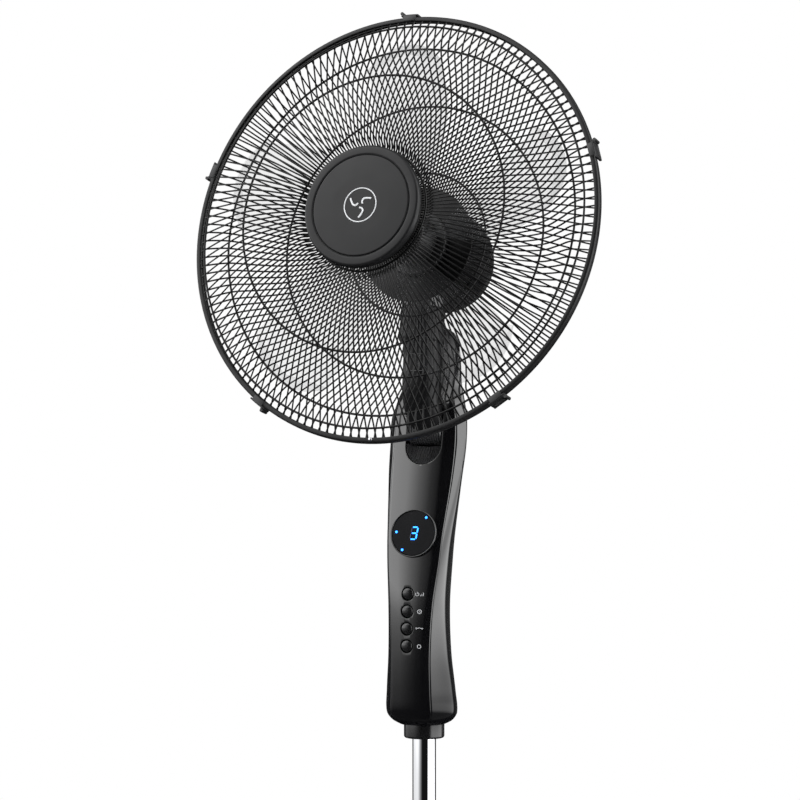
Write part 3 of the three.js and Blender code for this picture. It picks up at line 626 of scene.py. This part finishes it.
def front_rows():
    rows = []
    for z in housing_heights(FRONT_TOP):
        panel, edge = station(z)[:2]
        start = min(notch_half(z), panel - 0.4)
        xs = np.linspace(start, panel, 15)
        points = [(x, panel_y(x, z), z) for x in xs]
        before = resample(cut_at(flank(z), edge + SEAM - SEAM_HALF)[0], 5)[1:]
        rows.append(points + [(x, y, z) for x, y in before])
    return [to_pole_hole(rows[0])] + rows


def rear_rows():
    rows = []
    starts_z = [FRONT_TOP, 900, 915, 930, HOOD_TOP]
    starts_y = [station(FRONT_TOP)[1] + SEAM, 21.5, 25, 31, 34.0]
    for z in housing_heights(HOOD_TOP):
        start = station(z)[1] + SEAM if z <= FRONT_TOP else np.interp(z, starts_z, starts_y)
        behind = resample(cut_at(flank(z), start + SEAM_HALF)[1], 34)
        rows.append([(x, y, z) for x, y in behind])
    return [to_pole_hole(rows[0])] + rows


BUTTON_NAMES = ["speed", "timer", "swing", "off"]
BUTTON_X = -3.0
BUTTON_PITCH = 17.4
BUTTON_HEIGHTS = [672.9 - BUTTON_PITCH * i for i in range(len(BUTTON_NAMES))]
BUTTON_PROUD = 1.3
BUTTON_DEPTH = 6.4
BUTTON_HOLE = 7.0
SIGN_X = 10.2


def rod_cutter(radius, low, high, matrix, segments=48):
    """A rod from one height to another along a frame's Z axis, to be taken away from a piece."""
    shape = Shape()
    lathe(shape, [(0, low), (radius, low), (radius, high), (0, high)], segments, matrix)
    mesh = bpy.data.meshes.new("cutter")
    mesh.from_pydata([tuple(c * MM for c in p) for p in shape.points], [], shape.faces)
    obj = bpy.data.objects.new("cutter", mesh)
    bpy.context.scene.collection.objects.link(obj)
    return obj


def cut_away(obj, cutters):
    for cutter in cutters:
        cut = obj.modifiers.new("hole", "BOOLEAN")
        cut.operation = "DIFFERENCE"
        cut.solver = "EXACT"
        cut.object = cutter
    bake_modifiers(obj)
    for cutter in cutters:
        bpy.data.objects.remove(cutter)


def build_housing():
    outward = Matrix.Rotation(TAU / 4, 4, "X")
    places = [Matrix.Translation((BUTTON_X, 0, z)) @ outward for z in BUTTON_HEIGHTS]
    holes = [rod_cutter(BUTTON_HOLE, 20, 60, place) for place in places]
    shell("front_shell", front_rows(), ["housing_front"], holes)
    shell("rear_shell", rear_rows(), ["housing_rear"])
    collar = Shape()
    outline = [(12.3, 525), (19.6, 525), (20.6, 526.5), (20.6, 539.7), (12.3, 539.7)]
    lathe(collar, rounded(outline, 0.9, closed=True), 96)
    piece("collar_ring", collar, "mast", KEY, ["pole_collar"])
    mast = Shape()
    lathe(mast, rounded([(10.8, 220), (12, 220), (12, 600), (10.8, 600)], 0.4, closed=True), 96)
    piece("chrome_tube", mast, "mast", CHROME, ["upper_pole"])


def build_buttons():
    for z, name in zip(BUTTON_HEIGHTS, BUTTON_NAMES):
        back = panel_y(0, z) - BUTTON_PROUD + BUTTON_DEPTH
        facing = Matrix.Translation((BUTTON_X, back, z)) @ Matrix.Rotation(TAU / 4, 4, "X")
        dome = Shape()
        outline = [(0, 0), (6.2, 0), (6.2, 3.6), (5.9, 4.3), (5.1, 5.1)]
        outline += [(3.8, 5.8), (2.1, 6.25), (0, BUTTON_DEPTH)]
        lathe(dome, rounded(outline, 0.5, steps=3), 56, facing)
        piece(f"key_{name}", dome, f"button_{name}", KEY, [f"button_{name}"])


DISPLAY_LEAN = math.radians(14.6)
DISPLAY = Matrix.Translation((0, -29.8, 733.6)) @ Matrix.Rotation(TAU / 4 - DISPLAY_LEAN, 4, "X")
LIT_STROKES = [((-1, 1), (1, 1)), ((1, 1), (1, 0)), ((-1, 0), (1, 0)), ((1, 0), (1, -1)), ((-1, -1), (1, -1))]
UNLIT_STROKES = [((-1, 1), (-1, 0)), ((-1, 0), (-1, -1))]
LIT_DOTS = [(12.3, 16.3), (-18.4, 1.0), (-10.4, -17.3)]


def stroke(shape, points, width, proud):
    """A lit line on a plane, as a thin raised strip with round ends."""
    tube(shape, [(x, y, proud) for x, y in points], width / 2, 8)


def build_display():
    rim = Shape()
    outline = [(23.3, -5), (24.6, -5), (24.6, 0.1), (24.2, 0.55), (23.6, 0.5), (23.3, 0.1)]
    lathe(rim, rounded(outline, 0.2, closed=True), 128, DISPLAY)
    piece("display_rim", rim, "mast", GLOSS, ["display_bezel"])
    lens = Shape()
    outline = [(0, -1.8), (23, -1.8), (23, -0.35), (22.5, -0.05), (0, 0)]
    lathe(lens, rounded(outline, 0.3), 128, DISPLAY)
    piece("display_window", lens, "mast", SCREEN, ["display_lens"])
    lit, unlit = Shape(), Shape()
    half, tall, lean = 3.0, 6.2, 0.12
    corner = {
        (i, j): (0.9 + i * half + j * tall * lean, j * tall) for i in (-1, 1) for j in (-1, 0, 1)
    }

    def segment(a, b, shape, width):
        p, q = Vector(corner[a]), Vector(corner[b])
        short = (q - p).normalized() * 0.75
        ends = [tuple(p + short), tuple(q - short)]
        place = Shape()
        stroke(place, ends, width, 0.02)
        shape.add(place.points, place.faces, DISPLAY)

    for a, b in LIT_STROKES:
        segment(a, b, lit, 1.35)
    for a, b in UNLIT_STROKES:
        segment(a, b, unlit, 1.3)
    for x, y in LIT_DOTS:
        dot = [(0, -0.3), (1.35, -0.3), (1.1, 0.25), (0, 0.45)]
        lathe(lit, dot, 24, DISPLAY @ Matrix.Translation((x, y, 0)))
    piece("display_lit_marks", lit, "mast", LIT)
    # The segments that are off carry the faint painted glow.
    piece("display_unlit_marks", unlit, "mast", UNLIT_PAINTED_GLOW)


def arc(cx, cy, r, start, stop, count=18):
    turns = np.radians(np.linspace(start, stop, count))
    return [(cx + r * math.cos(a), cy + r * math.sin(a)) for a in turns]


def build_signs():
    """Plain signs beside the keys: power with rising bars, a clock, a two-way arrow and an empty ring."""
    marks = {
        "speed": [
            arc(-3, 0, 1.7, 125, 415),
            [(-3, 0.5), (-3, 2.3)],
            [(0.6, -1.7), (0.6, -0.6)],
            [(2.0, -1.7), (2.0, 0.4)],
            [(3.4, -1.7), (3.4, 1.6)],
        ],
        "timer": [arc(0, 0, 2.0, 0, 360, 30), [(0, 1.2), (0, 0), (0.95, -0.5)]],
        "swing": [
            arc(0, -3.4, 4.6, 50, 130),
            [(-4.1, 0.9), (-2.95, 0.1), (-3.1, 1.7)],
            [(4.1, 0.9), (2.95, 0.1), (3.1, 1.7)],
        ],
        "off": [arc(0, 0, 1.8, 0, 360, 30)],
    }
    signs = Shape()
    for z, name in zip(BUTTON_HEIGHTS, BUTTON_NAMES):
        for line in marks[name]:
            path = []
            for x, y in line:
                sx, sz = SIGN_X + x, z + y
                path.append((sx, panel_y(sx, sz) - 0.02, sz))
            tube(signs, path, 0.24, 6)
    piece("key_signs", signs, "mast", PRINT)


# ---- Neck ----

# The neck's middle line as (y, height).
NECK_BENDS = [(9, 848), (3, 854), (-5, 862), (-9.5, 877), (-8.5, 895), (-6.5, 914), (-9, 931)]
NECK_HALF_WIDTH = 18.2
NECK_HALF_DEPTH = 16.2
SQUARENESS = 2.6
BARREL_RADIUS = 16.0
BARREL_HALF_WIDTH = 18.2
BARREL_RIBS = 14
BARREL_RIB_HEIGHT = 1.5
RIB_STEPS = 8
SCOOP_RIBS = 24
SCOOP_GROOVE = 1.8
SCOOP_RADIUS = 19.5
SCOOP_DEEP_RADIUS = 17.6
SCOOP_HALF_TURN = math.radians(96)


def build_neck():
    neck = Shape()
    spine = smooth_path([(0, y, z) for y, z in NECK_BENDS], 8)
    rows = []
    for i, p in enumerate(spine):
        run = (spine[min(i + 1, len(spine) - 1)] - spine[max(i - 1, 0)]).normalized()
        depth = run.cross(Vector((1, 0, 0)))
        ring_points = []
        for k in range(56):
            a = TAU * k / 56
            c, s = math.cos(a), math.sin(a)
            squared = (abs(c) ** SQUARENESS + abs(s) ** SQUARENESS) ** (-1 / SQUARENESS)
            sideways = Vector((1, 0, 0)) * (NECK_HALF_WIDTH * c * squared)
            ring_points.append(p + sideways + depth * (NECK_HALF_DEPTH * s * squared))
        rows.append(ring_points)
    closed_loft(neck, rows)
    knuckle = [(0, -17), (22.4, -17), (22.4, 17), (0, 17)]
    lathe(neck, rounded(knuckle, 2.6), 128, NECK)
    lathe(neck, rounded([(20, -2.2), (22.7, -1.4), (22.7, 1.4), (20, 2.2)], 0.5, closed=True), 128, NECK)
    piece("neck_shell", neck, "neck", NECK_SATIN, ["neck_front", "neck_rear"])
    barrel = Shape()
    along_x = Matrix.Translation(TILT_PIVOT) @ Matrix.Rotation(TAU / 4, 4, "Y")
    profile = [(0, -18.3), (BARREL_RADIUS, -18.3)]
    steps = BARREL_RIBS * RIB_STEPS
    for k in range(steps):
        rib = BARREL_RIB_HEIGHT * abs(math.sin(math.pi * k / RIB_STEPS))
        profile.append((BARREL_RADIUS + rib, BARREL_HALF_WIDTH * (2 * k / steps - 1)))
    profile += [(BARREL_RADIUS, 18.3), (0, 18.3)]
    lathe(barrel, profile, 120, along_x)
    piece("neck_barrel", barrel, "neck", RIBBED)
    recess = Shape()
    face = [(-9, 897), (9, 897), (9, 914), (-9, 914)]
    for (x0, z0), (x1, z1) in zip(face, face[1:] + face[:1]):
        tube(recess, [(x0, neck_front_y(z0), z0), (x1, neck_front_y(z1), z1)], 0.7, 10)
    piece("neck_window_rim", recess, "neck", GLOSS)


def build_scoop():
    """The ribbed hollow that the barrel turns in, from the notch's edge in under the barrel."""
    scoop = Shape()
    columns, steps = SCOOP_RIBS * RIB_STEPS, 12
    rows = []
    for k in range(columns + 1):
        a = SCOOP_HALF_TURN * (2 * k / columns - 1)
        groove = SCOOP_GROOVE * (1 - math.sin(math.pi * (k % RIB_STEPS) / RIB_STEPS))
        edge_x, edge_z = SCOOP_RADIUS * math.sin(a), NOTCH_CENTRE - SCOOP_RADIUS * math.cos(a)
        edge = Vector((edge_x, panel_y(edge_x, edge_z) + 1.6, edge_z))
        deep = Vector((SCOOP_DEEP_RADIUS * math.sin(a), 8.5, NOTCH_CENTRE - 1.6 * math.cos(a)))
        bend = Vector((edge_x, 3.5, edge_z + 6.5 * math.cos(a)))
        row = []
        for j in range(steps + 1):
            t = j / steps
            p = (1 - t) ** 2 * edge + 2 * t * (1 - t) * bend + t * t * deep
            row.append(p + Vector((0, groove, -0.35 * groove)))
        rows.append(row)
    grid(scoop, rows)
    obj = piece("notch_scoop", scoop, "mast", RIBBED, keep_open=True)
    thick = obj.modifiers.new("wall", "SOLIDIFY")
    thick.thickness = 0.8 * MM
    thick.offset = -1
    bake_modifiers(obj)
    finish_mesh(obj, 30)


def neck_front_y(z):
    """Just proud of the neck's front at height z."""
    ys, heights = zip(*NECK_BENDS)
    return float(np.interp(z, heights, ys)) - NECK_HALF_DEPTH - 0.1


# ---- Head ----

# Each wire's line from the ring in to the middle, as (radius, height ahead of the ring).
FRONT_WIRE = [(215.5, 2.2), (207, 8), (181, 26), (141, 52), (105, 62.5)]
FRONT_WIRE += [(75, 64), (66, 57.5), (58, 55.8), (46, 55.8)]
REAR_WIRE = [(215.5, -2.2), (190, -8), (167, -29), (142, -49), (110, -58), (72, -60.6), (48, -60.6)]
WIRES = 150
WIRE_RADIUS = 0.85
CLIP_ANGLES = [18, 90, 162, 234, 306]
CLIP_RADIUS = 220.3
SWING_HOLE = 20.4
# Each hoop as (radius, height ahead of the ring, half thickness).
FRONT_HOOPS = [(207, 9.6, 1.1), (141, 50.3, 1.15), (216, 2.4, 1.4), (62, 57.4, 1.2)]
REAR_HOOPS = [(190, -9.8, 1.15), (142, -47.2, 1.15), (216, -2.4, 1.4), (75, -58.9, 1.15)]


def wire_fan(shape, profile, phase):
    one = Shape()
    tube(one, smooth_path([(r, 0, z) for r, z in profile], 5), WIRE_RADIUS, 6)
    for i in range(WIRES):
        turn = AXIS @ Matrix.Rotation(TAU * (i + phase) / WIRES, 4, "Z")
        shape.add(one.points, one.faces, turn)


def circle(radius, z, count):
    turns = [TAU * k / count for k in range(count)]
    return [(radius * math.cos(a), radius * math.sin(a), z) for a in turns]


def hoop(shape, radius, z, thick, count=180):
    tube(shape, circle(radius, z, count), thick, 8, closed=True, matrix=AXIS)


def build_guards():
    front = Shape()
    wire_fan(front, FRONT_WIRE, 0.0)
    for radius, z, thick in FRONT_HOOPS:
        hoop(front, radius, z, thick)
    lathe(front, rounded([(30, 54.6), (57, 54.6), (57, 57), (30, 57)], 0.6, closed=True), 96, AXIS)
    piece("front_wires", front, "head", WIRE, ["front_guard"], sharp=60, weld=0.001)
    rear = Shape()
    wire_fan(rear, REAR_WIRE, 0.5)
    for radius, z, thick in REAR_HOOPS:
        hoop(rear, radius, z, thick)
    lathe(rear, rounded([(21, -61.7), (60, -61.7), (60, -59.5), (21, -59.5)], 0.6, closed=True), 96, AXIS)
    piece("rear_wires", rear, "head", WIRE, ["rear_guard"], sharp=60, weld=0.001)
    rim = Shape()
    outline = [(217.4, -4.8), (219.4, -4.3), (220, -2.8), (220, 2.8), (219.4, 4.3), (217.4, 4.8)]
    outline += [(215.2, 4.8), (215.2, 4.1), (218.4, 3.7), (218.4, -3.7), (215.2, -4.1), (215.2, -4.8)]
    lathe(rim, rounded(outline, 0.8, closed=True, steps=3), 240, AXIS)
    piece("rim_band", rim, "head", RIM, ["guard_ring"])
    screw = Shape()
    at = AXIS @ Matrix.Translation((0, -217, 0))
    lathe(screw, rounded([(0, 6.1), (1.9, 6.1), (1.9, 7.0), (1.0, 7.6), (0, 7.7)], 0.3), 32, at)
    piece("rim_screw", screw, "head", STEEL, ["ring_screw"])


def build_clips():
    section = rounded([(0, -6.6), (1.7, -6.6), (2.0, 0), (1.7, 6.4), (0, 6.6)], 0.9, closed=True, steps=3)
    for i, degrees in enumerate(CLIP_ANGLES):
        place = AXIS @ Matrix.Rotation(math.radians(degrees), 4, "Z")
        clip = Shape()
        rows = []
        for k in range(13):
            y = -9 + 18 * k / 12
            lift = math.sqrt(CLIP_RADIUS**2 - y * y)
            rows.append([(lift + r, y, z) for r, z in section])
        closed_loft(clip, rows, place)
        block(clip, (6, 14, 1.3), (218.2, 0, 5.9), 0.5, place)
        block(clip, (2.8, 3.4, 11), (221.8, 8.0, 0.3), 0.9, place)
        block(clip, (1.0, 11, 1.0), (222.3, -1, -3.4), 0.3, place)
        block(clip, (1.0, 11, 1.0), (222.3, -1, -1.2), 0.3, place)
        tube(clip, [(223.7, 8.9, -5.2), (223.8, 8.9, 0), (223.7, 8.9, 5.6)], 1.7, 20, matrix=place)
        tube(clip, [(221.4, -9, -6.9), (221.4, 0, -6.9), (221.4, 9, -6.9)], 1.4, 18, matrix=place)
        piece(f"spring_clip_{i + 1}", clip, f"clip_{i + 1}", SATIN, [f"clip_{i + 1}"])


def build_cap():
    cap = Shape()
    outline = [(0, 64), (59.6, 64), (61.2, 65), (61.8, 68), (61.2, 72.2)]
    outline += [(59.5, 73.6), (52.2, 73.9), (51.6, 71.6), (0, 71.4)]
    lathe(cap, rounded(outline, 1.3, steps=4), 200, AXIS)
    piece("cap_ring", cap, "head", CAP_SATIN, ["front_cap"])
    badge = Shape()
    outline = [(0, 71.7), (51, 71.7), (51, 73.6), (50.2, 74.05), (30, 74.5), (0, 74.7)]
    lathe(badge, rounded(outline, 0.5), 200, AXIS)
    hoop(badge, 51.9, 73.0, 0.45, 200)
    piece("cap_disc", badge, "head", CAP_SATIN, ["cap_badge"])
    mark = Shape()
    for i in range(3):
        turn = AXIS @ Matrix.Rotation(TAU * i / 3 + 0.4, 4, "Z")
        path = []
        for t in np.linspace(0, 9, 22):
            path.append((2.8 + 0.125 * t * t, 4.2 * math.sin(t * 0.32), 74.72 - 0.0003 * t * t))
        tube(mark, path, 0.9, 10, matrix=turn)
    hoop(mark, 17, 74.5, 0.6, 96)
    piece("cap_mark", mark, "head", PRINT)


def build_motor():
    front = Shape()
    outline = [(10, -65), (10, -62), (18, -62), (18, -53), (20, -53), (20, -62.3), (49, -62.3), (54, -67)]
    outline += [(54, -111.7), (51.4, -111.7), (51.4, -68), (47, -65)]
    lathe(front, rounded(outline, 1.4, closed=True), 160, AXIS)
    obj = piece("motor_front_shell", front, "head", GLOSS, ["motor_front_cover"])
    cut_away(obj, [rod_cutter(SWING_HOLE, 10, 40, HEAD, 96)])
    finish_mesh(obj, 38)
    boss = Shape()
    inner = SWING_HOLE + 0.05
    outline = [(inner, 17.3), (22.4, 17.3), (22.4, 30), (24.5, 36), (inner, 36)]
    lathe(boss, rounded(outline, 1.0, closed=True), 96, HEAD)
    piece("swing_boss", boss, "head", GLOSS)
    rear = Shape()
    outline = [(54, -112.3), (54, -126), (52, -135), (47.5, -146), (44, -150), (40, -154)]
    outline += [(36, -156.5), (31, -158.5), (28, -164), (22, -167), (0, -168)]
    profile = [outline[0], *rounded(outline, 2.2, steps=3)[1:]]

    def vent(row, segment):
        radius = 0.5 * (profile[row][0] + profile[row + 1][0])
        return 33 < radius < 46 and segment % 8 in (3, 4, 5)

    lathe(rear, profile[::-1], 240, AXIS, gaps=vent)
    obj = piece("motor_rear_shell", rear, "head", GLOSS, ["motor_rear_cover"], sharp=40)
    thick = obj.modifiers.new("wall", "SOLIDIFY")
    thick.thickness = 2.2 * MM
    thick.offset = -1
    bake_modifiers(obj)
    finish_mesh(obj, 38)
    nut = Shape()
    outline = [(20.3, -59.2), (34, -59.2), (34, -53.2), (20.3, -53.2)]
    ring = rounded(outline, 1.2, closed=True)
    lathe(nut, ring, 240, AXIS, ribs=24, rib_depth=1.2, rib_span=(-60, -52))
    piece("guard_nut_ring", nut, "head", SATIN, ["guard_nut"])


# ---- Rotor ----

BLADES = 5
BLADE_TURN = math.radians(2)
BLADE_ROOT = 23
BLADE_REACH = 168
BLADE_HALF_THICK = 0.9


def blade_point(s, c):
    """A point on the blade's middle surface, s of the way out and c of the way round its width."""
    radius = BLADE_ROOT + BLADE_REACH * s
    spread_angle = math.radians(32 + 11 * math.sin(math.pi * min(s * 1.15, 1)) ** 0.8)
    lead = math.radians(4 + 13 * s)
    rounding = 1 - 0.1 * (2 * c - 1) ** 2 * s**3
    angle = lead + spread_angle * (c - 0.5)
    rise = (2 * c - 1) * (15 - 6 * s) - 3 * (2 * c - 1) ** 2
    r = radius * rounding
    return (r * math.cos(angle), r * math.sin(angle), -32 + 34 * s - rise)


def build_rotor():
    rotor = Shape()
    spans, chords = 26, 18
    tapers = [math.sqrt(max(1 - (2 * c / chords - 1) ** 4, 0.04)) for c in range(chords + 1)]
    thin = [BLADE_HALF_THICK * taper for taper in tapers]
    for i in range(BLADES):
        turn = AXIS @ Matrix.Rotation(BLADE_TURN + TAU * i / BLADES, 4, "Z")
        rows = []
        for k in range(spans + 1):
            s = k / spans
            line = [blade_point(s, c / chords) for c in range(chords + 1)]
            upper = [(x, y, z + t) for (x, y, z), t in zip(line, thin)]
            lower = [(x, y, z - t) for (x, y, z), t in zip(line, thin)][::-1]
            rows.append(upper + lower)
        closed_loft(rotor, rows, turn)
    outline = [(4.3, -50), (25, -50), (26, -48), (26, -16), (22, -14), (4.3, -14)]
    piece("blade_wheel", rotor, "rotor", BLADE, ["fan_blade"], sharp=50)
    hub = Shape()
    lathe(hub, rounded(outline, 1.5, closed=True), 96, AXIS)
    piece("blade_hub", hub, "rotor", SATIN)
    nut = Shape()
    outline = [(4.3, -13.7), (15, -13.7), (15, -7), (9, 1), (0, 3)]
    lathe(nut, rounded(outline, 1.0), 96, AXIS, ribs=12, rib_depth=0.8, rib_span=(-13, -7.5))
    piece("blade_nut_cone", nut, "rotor", SATIN, ["blade_nut"])


# ---- Studio ----


def math_node(tree, operation, a, b):
    node = tree.nodes.new("ShaderNodeMath")
    node.operation = operation
    for socket, value in zip(node.inputs, (a, b)):
        if isinstance(value, (int, float)):
            socket.default_value = value
        else:
            tree.links.new(value, socket)
    return node.outputs[0]


def curve(tree, value, stops):
    """A value read off a line through stops of (place, value)."""
    low, high = stops[0][0], stops[-1][0]
    fit = tree.nodes.new("ShaderNodeMapRange")
    fit.inputs["From Min"].default_value = low
    fit.inputs["From Max"].default_value = high
    tree.links.new(value, fit.inputs["Value"])
    ramp = tree.nodes.new("ShaderNodeValToRGB")
    while len(ramp.color_ramp.elements) < len(stops):
        ramp.color_ramp.elements.new(0.5)
    for element, (place, level) in zip(ramp.color_ramp.elements, stops):
        element.position = (place - low) / (high - low)
        element.color = (level, level, level, 1)
    tree.links.new(fit.outputs["Result"], ramp.inputs["Fac"])
    return ramp.outputs["Color"]


# Each soft light: its brightness by degrees round from the front, its brightness by height, its strength.
LEFT_ACROSS = [(-112, 0.02), (-104, 0.85), (-55, 1.0), (-40, 0.95)]
LEFT_ACROSS += [(-24, 0.45), (-10, 0.13), (-2, 0.05), (1, 0.0)]
LEFT_UPWARD = [(-0.35, 0.03), (-0.2, 0.2), (-0.09, 0.28), (0.02, 0.5), (0.14, 1.0), (0.7, 0.8), (0.9, 0.3)]
RIGHT_ACROSS = [(57, 0.0), (63, 1.0), (120, 0.8), (134, 0.75), (141, 0.02)]
RIGHT_UPWARD = [(-0.4, 0.1), (-0.24, 1.0), (-0.11, 1.0), (-0.05, 0.75), (-0.01, 0.6), (0.08, 0.6)]
RIGHT_UPWARD += [(0.16, 0.95), (0.4, 1.0), (0.9, 0.4)]
SOFTBOXES = [(LEFT_ACROSS, LEFT_UPWARD, 3.9), (RIGHT_ACROSS, RIGHT_UPWARD, 5.0)]
FLOOR_RADIUS = 2.9


def build_studio():
    floor = bpy.data.meshes.new("floor")
    ring_points = circle(FLOOR_RADIUS, 0, 96)
    floor.from_pydata(ring_points, [], [tuple(range(96))])
    obj = bpy.data.objects.new("floor", floor)
    bpy.context.scene.collection.objects.link(obj)
    material, tree, shader = new_material("pale_floor")
    shader.inputs["Base Color"].default_value = (0.86, 0.86, 0.86, 1)
    shader.inputs["Roughness"].default_value = 0.7
    floor.materials.append(material)
    obj.visible_glossy = False

    world = bpy.data.worlds.new("studio")
    bpy.context.scene.world = world
    world.use_nodes = True
    tree = world.node_tree
    tree.nodes.clear()
    coords = tree.nodes.new("ShaderNodeTexCoord")
    split = tree.nodes.new("ShaderNodeSeparateXYZ")
    tree.links.new(coords.outputs["Generated"], split.inputs["Vector"])
    forward = math_node(tree, "MULTIPLY", split.outputs["Y"], -1)
    around = math_node(tree, "ARCTAN2", split.outputs["X"], forward)
    place = tree.nodes.new("ShaderNodeMapRange")
    place.inputs["From Min"].default_value = -math.pi
    place.inputs["From Max"].default_value = math.pi
    tree.links.new(around, place.inputs["Value"])
    lights = []
    for across, upward, strength in SOFTBOXES:
        side = curve(tree, place.outputs["Result"], [((d + 180) / 360, v) for d, v in across])
        height = curve(tree, split.outputs["Z"], upward)
        both = math_node(tree, "MULTIPLY", side, height)
        lights.append(math_node(tree, "MULTIPLY", both, strength))
    total = math_node(tree, "ADD", lights[0], lights[1])
    total = math_node(tree, "ADD", total, 0.008)
    above = curve(tree, split.outputs["Z"], [(0.86, 0.0), (0.95, 1.0)])
    total = math_node(tree, "ADD", total, math_node(tree, "MULTIPLY", above, 0.5))
    seen = tree.nodes.new("ShaderNodeLightPath")
    mix = tree.nodes.new("ShaderNodeMixRGB")
    mix.inputs["Color2"].default_value = (1, 1, 1, 1)
    tree.links.new(seen.outputs["Is Camera Ray"], mix.inputs["Fac"])
    tree.links.new(total, mix.inputs["Color1"])
    background = tree.nodes.new("ShaderNodeBackground")
    background.inputs["Strength"].default_value = 1.0
    tree.links.new(mix.outputs["Color"], background.inputs["Color"])
    output = tree.nodes.new("ShaderNodeOutputWorld")
    tree.links.new(background.outputs["Background"], output.inputs["Surface"])

    lamp = bpy.data.lights.new("overhead", "AREA")
    lamp.shape = "RECTANGLE"
    lamp.size, lamp.size_y, lamp.energy = 2.4, 1.8, 30
    holder = bpy.data.objects.new("overhead", lamp)
    holder.location = (-0.9, -1.4, 3.1)
    holder.rotation_euler = (math.radians(24), math.radians(-14), 0)
    bpy.context.scene.collection.objects.link(holder)


def build_camera():
    camera = bpy.data.cameras.new("camera")
    camera.sensor_width = 36
    camera.lens = 121.5
    camera.clip_start, camera.clip_end = 0.1, 50
    holder = bpy.data.objects.new("camera", camera)
    holder.location = (1.0046, -2.5521, 0.8675)
    holder.rotation_euler = (TAU / 4, 0, math.radians(22))
    bpy.context.scene.collection.objects.link(holder)
    bpy.context.scene.camera = holder
    bpy.context.scene.view_settings.view_transform = "Standard"


def quiet_reflections():
    """The polished panel stays clear: it doesn't mirror the cage in front of it."""
    clips = [f"spring_clip_{i + 1}" for i in range(5)]
    for name in ["front_wires", "rear_wires", "rim_band", "rim_screw", *clips]:
        bpy.data.objects[name].visible_glossy = False


build_camera()
build_studio()
build_stand()
build_height_nut()
build_housing()
build_buttons()
build_display()
build_signs()
build_neck()
build_scoop()
build_guards()
build_clips()
build_cap()
build_motor()
build_rotor()
quiet_reflections()
